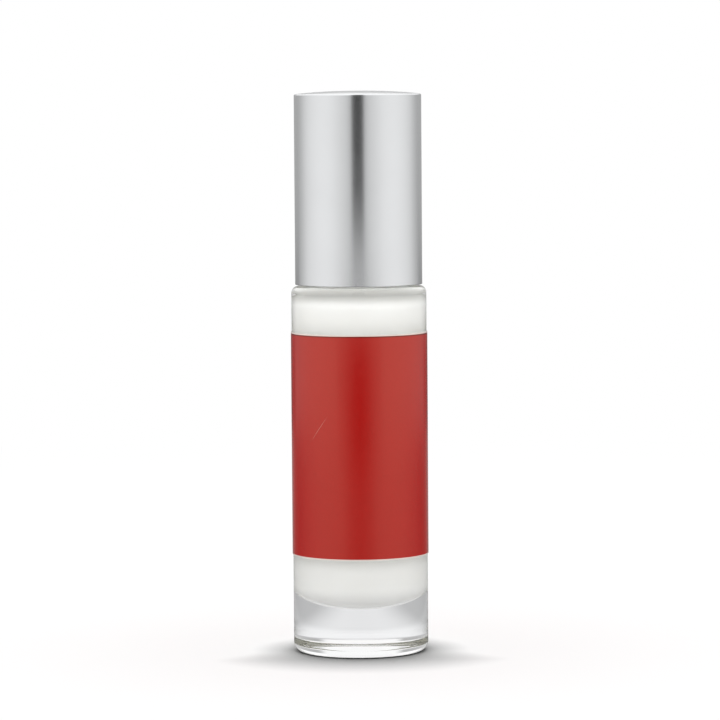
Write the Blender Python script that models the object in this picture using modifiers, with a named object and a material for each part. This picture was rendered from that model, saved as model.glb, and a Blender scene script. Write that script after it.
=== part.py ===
"""Serum bottle with a finger pump under a pull-off cap.

A thick-walled clear glass bottle holds a milky serum and wears a red wrap label.
A treatment pump hangs in its neck: the screw closure traps the pump's housing on
a gasket, the button presses a stem and a piston down against a spring, and a ball
in the foot of the housing lets the serum in from the dip tube. A capped aluminium
shell with a plastic liner pulls off upwards.

Lengths are in metres, +Z is up, and the bottle stands on the origin. The nozzle
and the front of the label face -Y. Every piece is drawn from its own zero height
and placed by a level that the pieces under it set.
"""

import math

import bmesh
import bpy
from mathutils import Matrix, Vector

# Fits between pieces
PRESS_GAP = 0.00005
RUNNING_GAP = 0.0001
SEAT_GAP = 0.0003

# Glass bottle
BODY_DIAMETER = 0.0240
SHOULDER_HEIGHT = 0.0652
BODY_WALL = 0.0030
BASE_THICKNESS = 0.0078
BOWL_DEPTH = 0.0042
HEEL_RADIUS = 0.00165
FOOT_WIDTH = 0.0015
PUNT_DEPTH = 0.0009
SHOULDER_RADIUS = 0.0012
SHOULDER_WALL = 0.0017
INNER_SHOULDER_RISE = 0.0029
BORE_FILLET = 0.0008
NECK_HEIGHT = 0.0141
NECK_WALL = 0.00225
NECK_ROOT_RADIUS = 0.0008
NECK_LIP_RADIUS = 0.0004
THREAD_HEIGHT = 0.00075

# Serum and label
SERUM_DROP = 0.0006
SERUM_FLOOR_COVER = 0.0012
LABEL_BOTTOM = 0.0174
LABEL_HEIGHT = 0.0397
LABEL_THICKNESS = 0.0001
LABEL_SEAM = 0.0015

# Strokes of the moving pieces
PUMP_STROKE = 0.0040
PISTON_SHIFT = 0.0005
BALL_LIFT = 0.0006

# Stem and the guide that it slides in
STEM_BORE_RADIUS = 0.0009
STEM_WALL = 0.00085
STEM_STOP_WIDTH = 0.00095
STEM_STOP_THICKNESS = 0.0008
STEM_GRIP = 0.0022
STEM_CHAMFER = 0.0002
GUIDE_WALL = 0.0014
GUIDE_PLUG_LENGTH = 0.00435
GUIDE_FLANGE_WIDTH = 0.0018
GUIDE_FLANGE_THICKNESS = 0.0008
GUIDE_CHIMNEY_WALL = 0.00175
GUIDE_CHIMNEY_HEIGHT = 0.00265
GUIDE_CHAMFER = 0.0003

# Piston and the rod whose head shuts it
PISTON_HEIGHT = 0.0056
PISTON_LIP_HEIGHT = 0.0004
PISTON_LIP_TAPER = 0.0007
PISTON_WAIST_DEPTH = 0.0005
PISTON_SHELF_HEIGHT = 0.0031
PISTON_SEAT_HEIGHT = 0.0009
PISTON_CHANNEL = 0.00035
ROD_HEAD_WIDTH = 0.00175
ROD_HEAD_THICKNESS = 0.0006
ROD_PILOT_WIDTH = 0.0009
ROD_PILOT_LENGTH = 0.0010
ROD_GRIP = 0.0044
ROD_FLAT_DEPTH = 0.0003
ROD_FLAT_OVERLAP = 0.0008

# Return spring and the cup that it stands in
SPRING_WIRE = 0.00045
SPRING_MEAN_RADIUS = 0.0023
SPRING_LENGTH = 0.0085
SPRING_TURNS = 6
SPRING_END_PITCH = 0.00095
SEAT_THICKNESS = 0.0010
SEAT_RIM_WIDTH = 0.0005
SEAT_RIM_HEIGHT = 0.0008
SEAT_HOLE_RADIUS = 0.0005
SEAT_HOLE_CIRCLE = 0.00145
SEAT_HOLES = 3

# Housing, ball and dip tube
HOUSING_WALL = 0.0007
HOUSING_NECK_GAP = 0.0003
FLANGE_INSET = 0.00015
FLANGE_THICKNESS = 0.0010
GASKET_THICKNESS = 0.0010
BALL_RADIUS = 0.0012
BALL_POCKET_GAP = 0.0004
INLET_BORE_RADIUS = 0.0008
INLET_BORE_LENGTH = 0.0010
TAIL_WALL = 0.0006
SOCKET_LENGTH = 0.0035
VENT_RADIUS = 0.0004
VENT_DEPTH = 0.0059
TUBE_RADIUS = 0.0012
TUBE_WALL = 0.00045
TUBE_FOOT_GAP = 0.0015
TUBE_SLANT = 0.0012
SERUM_CLEARANCE = 0.0003

# Screw closure and its aluminium collar
THREAD_CLEARANCE = 0.0003
CLOSURE_WALL = 0.00115
CLOSURE_WEB = 0.0011
CLOSURE_FOOT_GAP = 0.0007
CLOSURE_EDGE = 0.0004
COLLAR_WALL = 0.0004
COLLAR_FOOT_GAP = 0.0005
COLLAR_CHIMNEY_FILLET = 0.0002
COLLAR_CHIMNEY_GAP = 0.0003
COLLAR_CHIMNEY_LAP = 0.0003

# Button, its sleeve and its nozzle
SKIRT_CLEARANCE = 0.0006
BUTTON_CROWN = 0.00165
BUTTON_RADIUS = 0.0066
BUTTON_WALL = 0.0008
BUTTON_BOSS_WALL = 0.0011
BUTTON_HOLLOW_HEIGHT = 0.0014
BUTTON_RIM_DROP = 0.0008
BUTTON_RIM_INSET = 0.0003
BUTTON_RIM_WIDTH = 0.0009
DISH_DEPTH = 0.0012
CHANNEL_RADIUS = 0.0008
SLEEVE_WALL = 0.00035
SLEEVE_INNER_EDGE = 0.00015
NOZZLE_RADIUS = 0.0012
NOZZLE_BORE_RADIUS = 0.00045
NOZZLE_DEPTH = 0.0020
NOZZLE_REACH = 0.0005
NOZZLE_CONE_DEPTH = 0.0006
NOZZLE_CONE_RADIUS = 0.0008
NOZZLE_CHAMFER = 0.0002
NOZZLE_HOLE_GAP = 0.00025
NOZZLE_COLLAR_GAP = 0.00025

# Pull-off cap
CAP_HEADROOM = 0.0011
CAP_WALL = 0.0005
CAP_DOME = 0.0007
CAP_EDGE_RADIUS = 0.0008
LINER_WALL = 0.00105
LINER_ROOF = 0.00085
LINER_FOOT_INSET = 0.0005
GRIP_RIB_COUNT = 6
GRIP_RIB_HEIGHT = 0.0004
GRIP_RIB_WIDTH = 0.0008
GRIP_RIB_LENGTH = 0.0095
GRIP_RIB_INSET = 0.0006

# Smoothness of the turned shapes
BODY_STEPS = 40
PUMP_STEPS = 24
FINE_STEPS = 16
ARC_STEPS = 3
WIRE_STEPS = 10
MERGE_DISTANCE = 0.000002
CUT_OVERRUN = 0.0002

# Radii that follow from the fits, from the stem outwards
STEM_RADIUS = STEM_BORE_RADIUS + STEM_WALL
ROD_RADIUS = STEM_BORE_RADIUS - PRESS_GAP
GUIDE_BORE_RADIUS = STEM_RADIUS + RUNNING_GAP
GUIDE_RADIUS = GUIDE_BORE_RADIUS + GUIDE_WALL
HOUSING_BORE_RADIUS = GUIDE_RADIUS + PRESS_GAP
HOUSING_RADIUS = HOUSING_BORE_RADIUS + HOUSING_WALL
NECK_BORE_RADIUS = HOUSING_RADIUS + HOUSING_NECK_GAP
NECK_RADIUS = NECK_BORE_RADIUS + NECK_WALL
FLANGE_RADIUS = NECK_RADIUS - FLANGE_INSET
CHIMNEY_RADIUS = GUIDE_BORE_RADIUS + GUIDE_CHIMNEY_WALL
CLOSURE_BORE_RADIUS = NECK_RADIUS + THREAD_HEIGHT + THREAD_CLEARANCE
CLOSURE_RADIUS = CLOSURE_BORE_RADIUS + CLOSURE_WALL
COLLAR_RADIUS = CLOSURE_RADIUS + PRESS_GAP + COLLAR_WALL
SLEEVE_RADIUS = BUTTON_RADIUS + PRESS_GAP + SLEEVE_WALL
COLLAR_CHIMNEY_RADIUS = SLEEVE_RADIUS + COLLAR_CHIMNEY_GAP + COLLAR_WALL
LINER_BORE_RADIUS = COLLAR_RADIUS + RUNNING_GAP + GRIP_RIB_HEIGHT
LINER_RADIUS = LINER_BORE_RADIUS + LINER_WALL
CAP_RADIUS = LINER_RADIUS + PRESS_GAP + CAP_WALL
BODY_RADIUS = BODY_DIAMETER / 2
HOLLOW_RADIUS = BODY_RADIUS - BODY_WALL
POCKET_RADIUS = BALL_RADIUS + BALL_POCKET_GAP
SOCKET_RADIUS = TUBE_RADIUS + PRESS_GAP
TAIL_RADIUS = max(POCKET_RADIUS, SOCKET_RADIUS) + TAIL_WALL

# Levels that follow from the stack on the neck
NECK_TOP = SHOULDER_HEIGHT + NECK_HEIGHT
GASKET_LEVEL = NECK_TOP + PRESS_GAP
FLANGE_LEVEL = GASKET_LEVEL + GASKET_THICKNESS + PRESS_GAP
GUIDE_LEVEL = FLANGE_LEVEL + FLANGE_THICKNESS + PRESS_GAP
WEB_LEVEL = GUIDE_LEVEL + GUIDE_FLANGE_THICKNESS + PRESS_GAP
CLOSURE_TOP = WEB_LEVEL + CLOSURE_WEB
CHIMNEY_TOP = GUIDE_LEVEL + GUIDE_FLANGE_THICKNESS + GUIDE_CHIMNEY_HEIGHT
BUTTON_LEVEL = CHIMNEY_TOP + PUMP_STROKE + SEAT_GAP
SKIRT_LEVEL = CLOSURE_TOP + PUMP_STROKE + SKIRT_CLEARANCE
COLLAR_TOP = CLOSURE_TOP + PRESS_GAP + COLLAR_WALL
COLLAR_RIM = SKIRT_LEVEL + COLLAR_CHIMNEY_LAP
NOZZLE_LEVEL = COLLAR_RIM + PUMP_STROKE + NOZZLE_COLLAR_GAP + NOZZLE_RADIUS
BUTTON_TOP = NOZZLE_LEVEL + NOZZLE_RADIUS + BUTTON_CROWN
BUTTON_HEIGHT = BUTTON_TOP - BUTTON_LEVEL
ROOF_LEVEL = BUTTON_TOP + CAP_HEADROOM
CAP_FOOT = SHOULDER_HEIGHT + SEAT_GAP
CAP_RIM = ROOF_LEVEL + LINER_ROOF + PRESS_GAP + CAP_WALL

# Levels that follow down the pump
STOP_LEVEL = GUIDE_LEVEL - GUIDE_PLUG_LENGTH - RUNNING_GAP
PISTON_TOP = STOP_LEVEL - STEM_STOP_THICKNESS - PISTON_SHIFT - 2 * RUNNING_GAP
PISTON_LEVEL = PISTON_TOP - PISTON_HEIGHT
STEM_FOOT = PISTON_LEVEL + PISTON_SHELF_HEIGHT + PISTON_SHIFT + RUNNING_GAP
STEM_TOP = BUTTON_LEVEL + STEM_GRIP
SEAT_BORE_RADIUS = ROD_RADIUS + PISTON_CHANNEL
SEAT_SLACK = RUNNING_GAP * math.sqrt(2)
ROD_HEAD_RADIUS = ROD_RADIUS + ROD_HEAD_WIDTH
CONE_TOP = PISTON_SEAT_HEIGHT - SEAT_SLACK + PISTON_CHANNEL
CONE_FOOT = CONE_TOP - ROD_HEAD_WIDTH
ROD_SEAT = CONE_FOOT - ROD_HEAD_THICKNESS
SPRING_TOP = PISTON_LEVEL + ROD_SEAT - PRESS_GAP
SPRING_FOOT = SPRING_TOP - SPRING_LENGTH
CUP_LEVEL = SPRING_FOOT - PRESS_GAP - SEAT_THICKNESS
FLOOR_LEVEL = CUP_LEVEL - PRESS_GAP
BALL_LEVEL = CUP_LEVEL - RUNNING_GAP - BALL_LIFT - BALL_RADIUS
CONE_APEX = BALL_LEVEL - (BALL_RADIUS + PRESS_GAP) * math.sqrt(2)
INLET_LEVEL = CONE_APEX + INLET_BORE_RADIUS
POCKET_FLOOR = CONE_APEX + POCKET_RADIUS
SOCKET_TOP = INLET_LEVEL - INLET_BORE_LENGTH
TAIL_FOOT = SOCKET_TOP - SOCKET_LENGTH
TUBE_TOP = SOCKET_TOP - PRESS_GAP
TUBE_FOOT = BASE_THICKNESS + TUBE_FOOT_GAP

# Levels inside the glass
INNER_TOP = SHOULDER_HEIGHT - SHOULDER_WALL
INNER_SPRING = INNER_TOP - INNER_SHOULDER_RISE
BOWL_RIM = BASE_THICKNESS + BOWL_DEPTH
MOUTH_WIDTH = HOLLOW_RADIUS - NECK_BORE_RADIUS - BORE_FILLET
SERUM_LEVEL = INNER_TOP - SERUM_DROP


def arc(centre, radii, start, end, steps=ARC_STEPS):
    """Points on an arc in the outline's plane, from one angle in degrees to another."""
    points = []
    for step in range(steps + 1):
        angle = math.radians(start + (end - start) * step / steps)
        points.append((centre[0] + radii[0] * math.cos(angle), centre[1] + radii[1] * math.sin(angle)))
    return points


def material(name, colour, roughness, metallic=0.0, transmission=0.0):
    """A plain finish for one kind of piece."""
    finish = bpy.data.materials.get(name)
    if finish is None:
        finish = bpy.data.materials.new(name)
        finish.use_nodes = True
        shader = finish.node_tree.nodes["Principled BSDF"]
        shader.inputs["Base Color"].default_value = (*colour, 1.0)
        shader.inputs["Roughness"].default_value = roughness
        shader.inputs["Metallic"].default_value = metallic
        shader.inputs["Transmission Weight"].default_value = transmission
    return finish


def glass():
    return material("clear_glass", (0.93, 0.96, 0.95), 0.03, transmission=1.0)


def milky_serum():
    return material("milky_serum", (0.90, 0.90, 0.86), 0.2)


def red_film():
    return material("red_film", (0.42, 0.018, 0.016), 0.25)


def aluminium():
    return material("satin_aluminium", (0.80, 0.80, 0.82), 0.25, metallic=1.0)


def natural_plastic():
    return material("natural_plastic", (0.86, 0.87, 0.86), 0.4)


def white_plastic():
    return material("white_plastic", (0.88, 0.88, 0.87), 0.35)


def soft_seal():
    return material("soft_seal", (0.75, 0.76, 0.78), 0.6)


def steel():
    return material("stainless_steel", (0.62, 0.62, 0.63), 0.3, metallic=1.0)


def clear_scene():
    """Remove what the start-up file holds."""
    for thing in list(bpy.data.objects):
        bpy.data.objects.remove(thing, do_unlink=True)


def new_collection(name):
    collection = bpy.data.collections.new(name)
    bpy.context.scene.collection.children.link(collection)
    return collection


def carrier(name, level, parent=None):
    """An empty on the bottle's axis that carries the pieces of one moving group."""
    empty = bpy.data.objects.new(name, None)
    empty.empty_display_size = BODY_RADIUS
    bpy.data.collections["serum_bottle"].objects.link(empty)
    empty.location = (0.0, 0.0, level)
    if parent is not None:
        carry(empty, parent)
    return empty


def carry(piece, parent):
    """Parent a piece to a carrier and leave it where it stands."""
    bpy.context.view_layer.update()
    piece.parent = parent
    piece.matrix_parent_inverse = parent.matrix_world.inverted()


def add_piece(name, mesh, finish, level, parent):
    """Put a mesh in the model as one named piece with its zero at a level."""
    piece = bpy.data.objects.new(name, mesh)
    mesh.materials.append(finish)
    bpy.data.collections["serum_bottle"].objects.link(piece)
    piece.location = (0.0, 0.0, level)
    if parent is not None:
        carry(piece, parent)
    return piece


def turned(name, outline, steps, finish, level=0.0, parent=None, ring=False, seam=0.0):
    """Turn an outline of radius and height points, which runs down its outer side."""
    mesh = bpy.data.meshes.new(name)
    edges = [(index, index + 1) for index in range(len(outline) - 1)]
    if ring:
        edges.append((len(outline) - 1, 0))
    mesh.from_pydata([(radius, 0.0, height) for radius, height in outline], edges, [])
    piece = add_piece(name, mesh, finish, level, parent)
    screw = piece.modifiers.new("turn", "SCREW")
    screw.angle = 2 * math.pi - seam
    screw.steps = steps
    screw.render_steps = steps
    screw.use_merge_vertices = True
    screw.merge_threshold = MERGE_DISTANCE
    return piece


def thicken(piece, wall, offset):
    """Give a turned skin its wall: offset -1 puts it inside the outline, 1 outside."""
    solidify = piece.modifiers.new("wall", "SOLIDIFY")
    solidify.thickness = wall
    solidify.offset = offset
    solidify.use_even_offset = True


def add_cutter(name, mesh):
    """Keep a tool shape out of sight in its own collection."""
    cutter = bpy.data.objects.new(name, mesh)
    bpy.data.collections["serum_bottle_cutters"].objects.link(cutter)
    cutter.hide_render = True
    cutter.display_type = "WIRE"
    return cutter


def boxes_mesh(name, size, places):
    """A mesh of equal boxes, one for each placing matrix."""
    shape = bmesh.new()
    for place in places:
        bmesh.ops.create_cube(shape, size=1.0, matrix=place @ Matrix.Diagonal((*size, 1.0)))
    mesh = bpy.data.meshes.new(name)
    shape.to_mesh(mesh)
    shape.free()
    return mesh


def rods_mesh(name, radius, length, places, steps=FINE_STEPS):
    """A mesh of equal round bars along their own Z, one for each placing matrix."""
    shape = bmesh.new()
    for place in places:
        bmesh.ops.create_cone(
            shape, cap_ends=True, segments=steps, radius1=radius, radius2=radius, depth=length, matrix=place
        )
    mesh = bpy.data.meshes.new(name)
    shape.to_mesh(mesh)
    shape.free()
    return mesh


def combine(piece, cutter, operation):
    """Cut a piece with a tool shape, or join the shape to it."""
    boolean = piece.modifiers.new(cutter.name, "BOOLEAN")
    boolean.operation = operation
    boolean.object = cutter


def forward_bar(height, start, end):
    """The place of a bar that runs from one depth to another along -Y at a height."""
    middle = Matrix.Translation((0.0, -(start + end) / 2, height))
    return middle @ Matrix.Rotation(math.radians(90), 4, "X")


def glass_hollow(gap):
    """The inside of the glass from the bowl's centre up the wall and over to the bore's fillet."""
    outline = arc((0.0, BOWL_RIM), (HOLLOW_RADIUS - gap, BOWL_DEPTH - gap), -90, 0, 2 * ARC_STEPS)
    mouth = (MOUTH_WIDTH - gap, INNER_SHOULDER_RISE - gap)
    return outline + arc((HOLLOW_RADIUS - MOUTH_WIDTH, INNER_SPRING), mouth, 0, 90)


def below(outline, level):
    """The part of a rising outline under a level, ending on the level."""
    kept = [point for point in outline if point[1] < level]
    low, high = kept[-1], outline[len(kept)]
    share = (level - low[1]) / (high[1] - low[1])
    return kept + [(low[0] + (high[0] - low[0]) * share, level)]


def make_bottle():
    """One piece of clear glass: thick foot, straight body, flat shoulder and plain neck."""
    heel = BODY_RADIUS - HEEL_RADIUS
    foot = heel - FOOT_WIDTH
    shoulder = BODY_RADIUS - SHOULDER_RADIUS
    outline = glass_hollow(0.0)
    bore = (BORE_FILLET, BORE_FILLET)
    outline += arc((NECK_BORE_RADIUS + BORE_FILLET, INNER_TOP + BORE_FILLET), bore, 270, 180, 2)[1:]
    lip = (NECK_LIP_RADIUS, NECK_LIP_RADIUS)
    outline += arc((NECK_BORE_RADIUS + NECK_LIP_RADIUS, NECK_TOP - NECK_LIP_RADIUS), lip, 180, 90, 2)
    outline += arc((NECK_RADIUS - NECK_LIP_RADIUS, NECK_TOP - NECK_LIP_RADIUS), lip, 90, 0, 2)
    root = (NECK_ROOT_RADIUS, NECK_ROOT_RADIUS)
    outline += arc((NECK_RADIUS + NECK_ROOT_RADIUS, SHOULDER_HEIGHT + NECK_ROOT_RADIUS), root, 180, 270, 2)
    corner = (SHOULDER_RADIUS, SHOULDER_RADIUS)
    outline += arc((shoulder, SHOULDER_HEIGHT - SHOULDER_RADIUS), corner, 90, 0)
    outline += arc((heel, HEEL_RADIUS), (HEEL_RADIUS, HEEL_RADIUS), 0, -90)
    outline += arc((0.0, 0.0), (foot, PUNT_DEPTH), 0, 90)
    return turned("bottle", outline, BODY_STEPS, glass())


def make_serum():
    """The liquid: it fills the glass and leaves room for the pump and its dip tube."""
    tube_hole = TUBE_RADIUS + SERUM_CLEARANCE
    tail_hole = TAIL_RADIUS + SERUM_CLEARANCE
    housing_hole = HOUSING_RADIUS + SERUM_CLEARANCE
    step_level = FLOOR_LEVEL - HOUSING_WALL - (HOUSING_RADIUS - TAIL_RADIUS) - SERUM_CLEARANCE
    outline = [
        (0.0, BASE_THICKNESS + SERUM_FLOOR_COVER),
        (tube_hole, BASE_THICKNESS + SERUM_FLOOR_COVER),
        (tube_hole, TAIL_FOOT - SERUM_CLEARANCE),
        (tail_hole, TAIL_FOOT - SERUM_CLEARANCE),
        (tail_hole, step_level),
        (housing_hole, step_level + housing_hole - tail_hole),
        (housing_hole, SERUM_LEVEL),
    ]
    outline += reversed(below(glass_hollow(PRESS_GAP), SERUM_LEVEL))
    return turned("serum", outline, BODY_STEPS, milky_serum())


def make_label():
    """A wrap of red film round the body, with its seam at the back."""
    radius = BODY_RADIUS + PRESS_GAP
    outline = [(radius, LABEL_HEIGHT), (radius, 0.0)]
    seam = LABEL_SEAM / radius
    label = turned("label", outline, BODY_STEPS, red_film(), level=LABEL_BOTTOM, seam=seam)
    label.rotation_euler.z = math.radians(90) + seam / 2
    thicken(label, LABEL_THICKNESS, 1.0)
    return label


def make_gasket(parent):
    """The soft ring between the neck's mouth and the pump's flange."""
    bore = HOUSING_RADIUS + PRESS_GAP
    outline = [
        (bore, GASKET_THICKNESS),
        (FLANGE_RADIUS, GASKET_THICKNESS),
        (FLANGE_RADIUS, 0.0),
        (bore, 0.0),
    ]
    return turned("neck_gasket", outline, PUMP_STEPS, soft_seal(), GASKET_LEVEL, parent, ring=True)


def make_housing(parent):
    """The pump's body: flange, chamber, ball pocket and the socket of the dip tube."""
    floor = FLOOR_LEVEL - FLANGE_LEVEL
    pocket = POCKET_FLOOR - FLANGE_LEVEL
    inlet = INLET_LEVEL - FLANGE_LEVEL
    socket = SOCKET_TOP - FLANGE_LEVEL
    tail = TAIL_FOOT - FLANGE_LEVEL
    underside = floor - HOUSING_WALL
    outline = [
        (HOUSING_BORE_RADIUS, FLANGE_THICKNESS),
        (FLANGE_RADIUS, FLANGE_THICKNESS),
        (FLANGE_RADIUS, 0.0),
        (HOUSING_RADIUS, 0.0),
        (HOUSING_RADIUS, underside),
        (TAIL_RADIUS, underside - (HOUSING_RADIUS - TAIL_RADIUS)),
        (TAIL_RADIUS, tail),
        (SOCKET_RADIUS, tail),
        (SOCKET_RADIUS, socket),
        (INLET_BORE_RADIUS, socket),
        (INLET_BORE_RADIUS, inlet),
        (POCKET_RADIUS, pocket),
        (POCKET_RADIUS, floor),
        (HOUSING_BORE_RADIUS, floor),
    ]
    housing = turned("pump_housing", outline, PUMP_STEPS, natural_plastic(), FLANGE_LEVEL, parent, ring=True)
    start = HOUSING_BORE_RADIUS - CUT_OVERRUN
    end = HOUSING_RADIUS + CUT_OVERRUN
    bar = forward_bar(FLANGE_LEVEL - VENT_DEPTH, start, end)
    vent = rods_mesh("vent_drill", VENT_RADIUS, end - start, [bar], PUMP_STEPS // 2)
    combine(housing, add_cutter("vent_drill", vent), "DIFFERENCE")
    return housing


def make_dip_tube(parent):
    """The feed tube, pushed into the housing's socket and cut slanting at its foot."""
    bore = TUBE_RADIUS - TUBE_WALL
    length = TUBE_TOP - TUBE_FOOT
    outline = [(bore, length), (TUBE_RADIUS, length), (TUBE_RADIUS, 0.0), (bore, 0.0)]
    tube = turned("dip_tube", outline, FINE_STEPS, natural_plastic(), TUBE_FOOT, parent, ring=True)
    tilt = math.atan2(TUBE_SLANT, 2 * TUBE_RADIUS)
    reach = 4 * TUBE_RADIUS
    sunk = Matrix.Translation((0.0, 0.0, TUBE_FOOT + TUBE_SLANT / 2))
    place = sunk @ Matrix.Rotation(tilt, 4, "X") @ Matrix.Translation((0.0, 0.0, -TUBE_SLANT))
    block = boxes_mesh("tube_foot_cut", (reach, reach, 2 * TUBE_SLANT), [place])
    combine(tube, add_cutter("tube_foot_cut", block), "DIFFERENCE")
    return tube


def make_ball(parent):
    """The inlet valve's ball on its conical seat."""
    shape = bmesh.new()
    bmesh.ops.create_uvsphere(shape, u_segments=FINE_STEPS, v_segments=FINE_STEPS // 2, radius=BALL_RADIUS)
    mesh = bpy.data.meshes.new("inlet_ball")
    shape.to_mesh(mesh)
    shape.free()
    mesh.shade_smooth()
    return add_piece("inlet_ball", mesh, steel(), BALL_LEVEL, parent)


def make_spring_cup(parent):
    """The cup that holds the spring's foot and keeps the ball in its pocket."""
    radius = HOUSING_BORE_RADIUS - PRESS_GAP
    rim_bore = radius - SEAT_RIM_WIDTH
    rim_top = SEAT_THICKNESS + SEAT_RIM_HEIGHT
    outline = [
        (0.0, SEAT_THICKNESS),
        (rim_bore, SEAT_THICKNESS),
        (rim_bore, rim_top),
        (radius, rim_top),
        (radius, 0.0),
        (0.0, 0.0),
    ]
    cup = turned("spring_seat", outline, PUMP_STEPS, natural_plastic(), CUP_LEVEL, parent)
    places = []
    for index in range(SEAT_HOLES):
        turn = Matrix.Rotation(2 * math.pi * index / SEAT_HOLES, 4, "Z")
        places.append(turn @ Matrix.Translation((0.0, SEAT_HOLE_CIRCLE, CUP_LEVEL + SEAT_THICKNESS / 2)))
    drills = rods_mesh(
        "spring_seat_drills", SEAT_HOLE_RADIUS, SEAT_THICKNESS + 2 * CUT_OVERRUN, places, PUMP_STEPS // 2
    )
    combine(cup, add_cutter("spring_seat_drills", drills), "DIFFERENCE")
    return cup


def spring_height(turn):
    """Height of the wire's centre after some turns: close end turns, an even pitch between."""
    free = SPRING_LENGTH - SPRING_WIRE
    pitch = (free - 2 * SPRING_END_PITCH) / (SPRING_TURNS - 2)
    if turn <= 1:
        return SPRING_END_PITCH * turn
    if turn >= SPRING_TURNS - 1:
        return free - SPRING_END_PITCH * (SPRING_TURNS - turn)
    return SPRING_END_PITCH + pitch * (turn - 1)


def make_spring(parent):
    """The return spring, one unbroken wire from its cup to the rod's head."""
    places = []
    for index in range(SPRING_TURNS * WIRE_STEPS + 1):
        turn = index / WIRE_STEPS
        angle = 2 * math.pi * turn
        height = SPRING_WIRE / 2 + spring_height(turn)
        radial = Vector((math.cos(angle), math.sin(angle), 0.0))
        places.append(radial * SPRING_MEAN_RADIUS + Vector((0.0, 0.0, height)))
    wire = bpy.data.curves.new("return_spring", "CURVE")
    wire.dimensions = "3D"
    spline = wire.splines.new("POLY")
    spline.points.add(len(places) - 1)
    for point, place in zip(spline.points, places):
        point.co = (*place, 1.0)
    wire.bevel_depth = SPRING_WIRE / 2
    wire.bevel_resolution = 1
    wire.use_fill_caps = True
    least = min(
        (places[low] - places[high]).length
        for low in range(len(places))
        for high in range(low + WIRE_STEPS // 2, len(places))
    )
    print("return_spring: least gap between turns %.2f mm" % ((least - SPRING_WIRE) * 1000))
    return add_piece("return_spring", wire, steel(), SPRING_FOOT, parent)


def make_guide(parent):
    """The stem guide: it plugs the housing and its chimney centres the stem."""
    flange_radius = CHIMNEY_RADIUS + GUIDE_FLANGE_WIDTH
    top = CHIMNEY_TOP - GUIDE_LEVEL
    outline = [
        (GUIDE_BORE_RADIUS, top - GUIDE_CHAMFER),
        (GUIDE_BORE_RADIUS + GUIDE_CHAMFER, top),
        (CHIMNEY_RADIUS - GUIDE_CHAMFER, top),
        (CHIMNEY_RADIUS, top - GUIDE_CHAMFER),
        (CHIMNEY_RADIUS, GUIDE_FLANGE_THICKNESS),
        (flange_radius, GUIDE_FLANGE_THICKNESS),
        (flange_radius, 0.0),
        (GUIDE_RADIUS, 0.0),
        (GUIDE_RADIUS, GUIDE_CHAMFER - GUIDE_PLUG_LENGTH),
        (GUIDE_RADIUS - GUIDE_CHAMFER, -GUIDE_PLUG_LENGTH),
        (GUIDE_BORE_RADIUS, -GUIDE_PLUG_LENGTH),
    ]
    return turned("stem_guide", outline, PUMP_STEPS, white_plastic(), GUIDE_LEVEL, parent, ring=True)


def make_stem(parent):
    """The hollow stem between the button and the piston, with its stop flange."""
    top = STEM_TOP - STOP_LEVEL
    foot = STEM_FOOT - STOP_LEVEL
    stop = STEM_RADIUS + STEM_STOP_WIDTH
    outline = [
        (STEM_BORE_RADIUS, top),
        (STEM_RADIUS - STEM_CHAMFER, top),
        (STEM_RADIUS, top - STEM_CHAMFER),
        (STEM_RADIUS, 0.0),
        (stop, 0.0),
        (stop, -STEM_STOP_THICKNESS),
        (STEM_RADIUS, -STEM_STOP_THICKNESS),
        (STEM_RADIUS, foot),
        (STEM_BORE_RADIUS, foot),
    ]
    return turned("stem", outline, PUMP_STEPS, white_plastic(), STOP_LEVEL, parent, ring=True)


def make_rod(parent):
    """The valve rod: its flats let the serum up into the stem, its cone shuts the piston."""
    top = STEM_FOOT + ROD_GRIP - PISTON_LEVEL
    pilot = ROD_RADIUS + ROD_PILOT_WIDTH
    outline = [
        (0.0, top),
        (ROD_RADIUS, top),
        (ROD_RADIUS, CONE_TOP),
        (ROD_HEAD_RADIUS, CONE_FOOT),
        (ROD_HEAD_RADIUS, ROD_SEAT),
        (pilot, ROD_SEAT),
        (pilot, ROD_SEAT - ROD_PILOT_LENGTH),
        (0.0, ROD_SEAT - ROD_PILOT_LENGTH),
    ]
    rod = turned("valve_rod", outline, PUMP_STEPS, white_plastic(), PISTON_LEVEL, parent)
    length = ROD_GRIP + ROD_FLAT_OVERLAP + CUT_OVERRUN
    middle = STEM_FOOT - ROD_FLAT_OVERLAP + length / 2
    depth = ROD_FLAT_DEPTH + CUT_OVERRUN
    offset = ROD_RADIUS - ROD_FLAT_DEPTH + depth / 2
    places = [Matrix.Translation((side * offset, 0.0, middle)) for side in (-1, 1)]
    flats = boxes_mesh("rod_flats", (depth, 2 * ROD_RADIUS + CUT_OVERRUN, length), places)
    combine(rod, add_cutter("rod_flats", flats), "DIFFERENCE")
    return rod


def make_piston(parent):
    """The soft piston with its two wiping lips, loose on the rod by its shift."""
    lip = HOUSING_BORE_RADIUS - PRESS_GAP
    waist = lip - PISTON_WAIST_DEPTH
    upper_bore = STEM_RADIUS + RUNNING_GAP
    seat_foot = SEAT_BORE_RADIUS + PISTON_SEAT_HEIGHT
    neck_foot = PISTON_LIP_HEIGHT + PISTON_LIP_TAPER
    outline = [
        (upper_bore, PISTON_HEIGHT),
        (lip, PISTON_HEIGHT),
        (lip, PISTON_HEIGHT - PISTON_LIP_HEIGHT),
        (waist, PISTON_HEIGHT - neck_foot),
        (waist, neck_foot),
        (lip, PISTON_LIP_HEIGHT),
        (lip, 0.0),
        (seat_foot, 0.0),
        (SEAT_BORE_RADIUS, PISTON_SEAT_HEIGHT),
        (SEAT_BORE_RADIUS, PISTON_SHELF_HEIGHT),
        (upper_bore, PISTON_SHELF_HEIGHT),
    ]
    return turned("piston", outline, PUMP_STEPS, natural_plastic(), PISTON_LEVEL, parent, ring=True)


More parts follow.
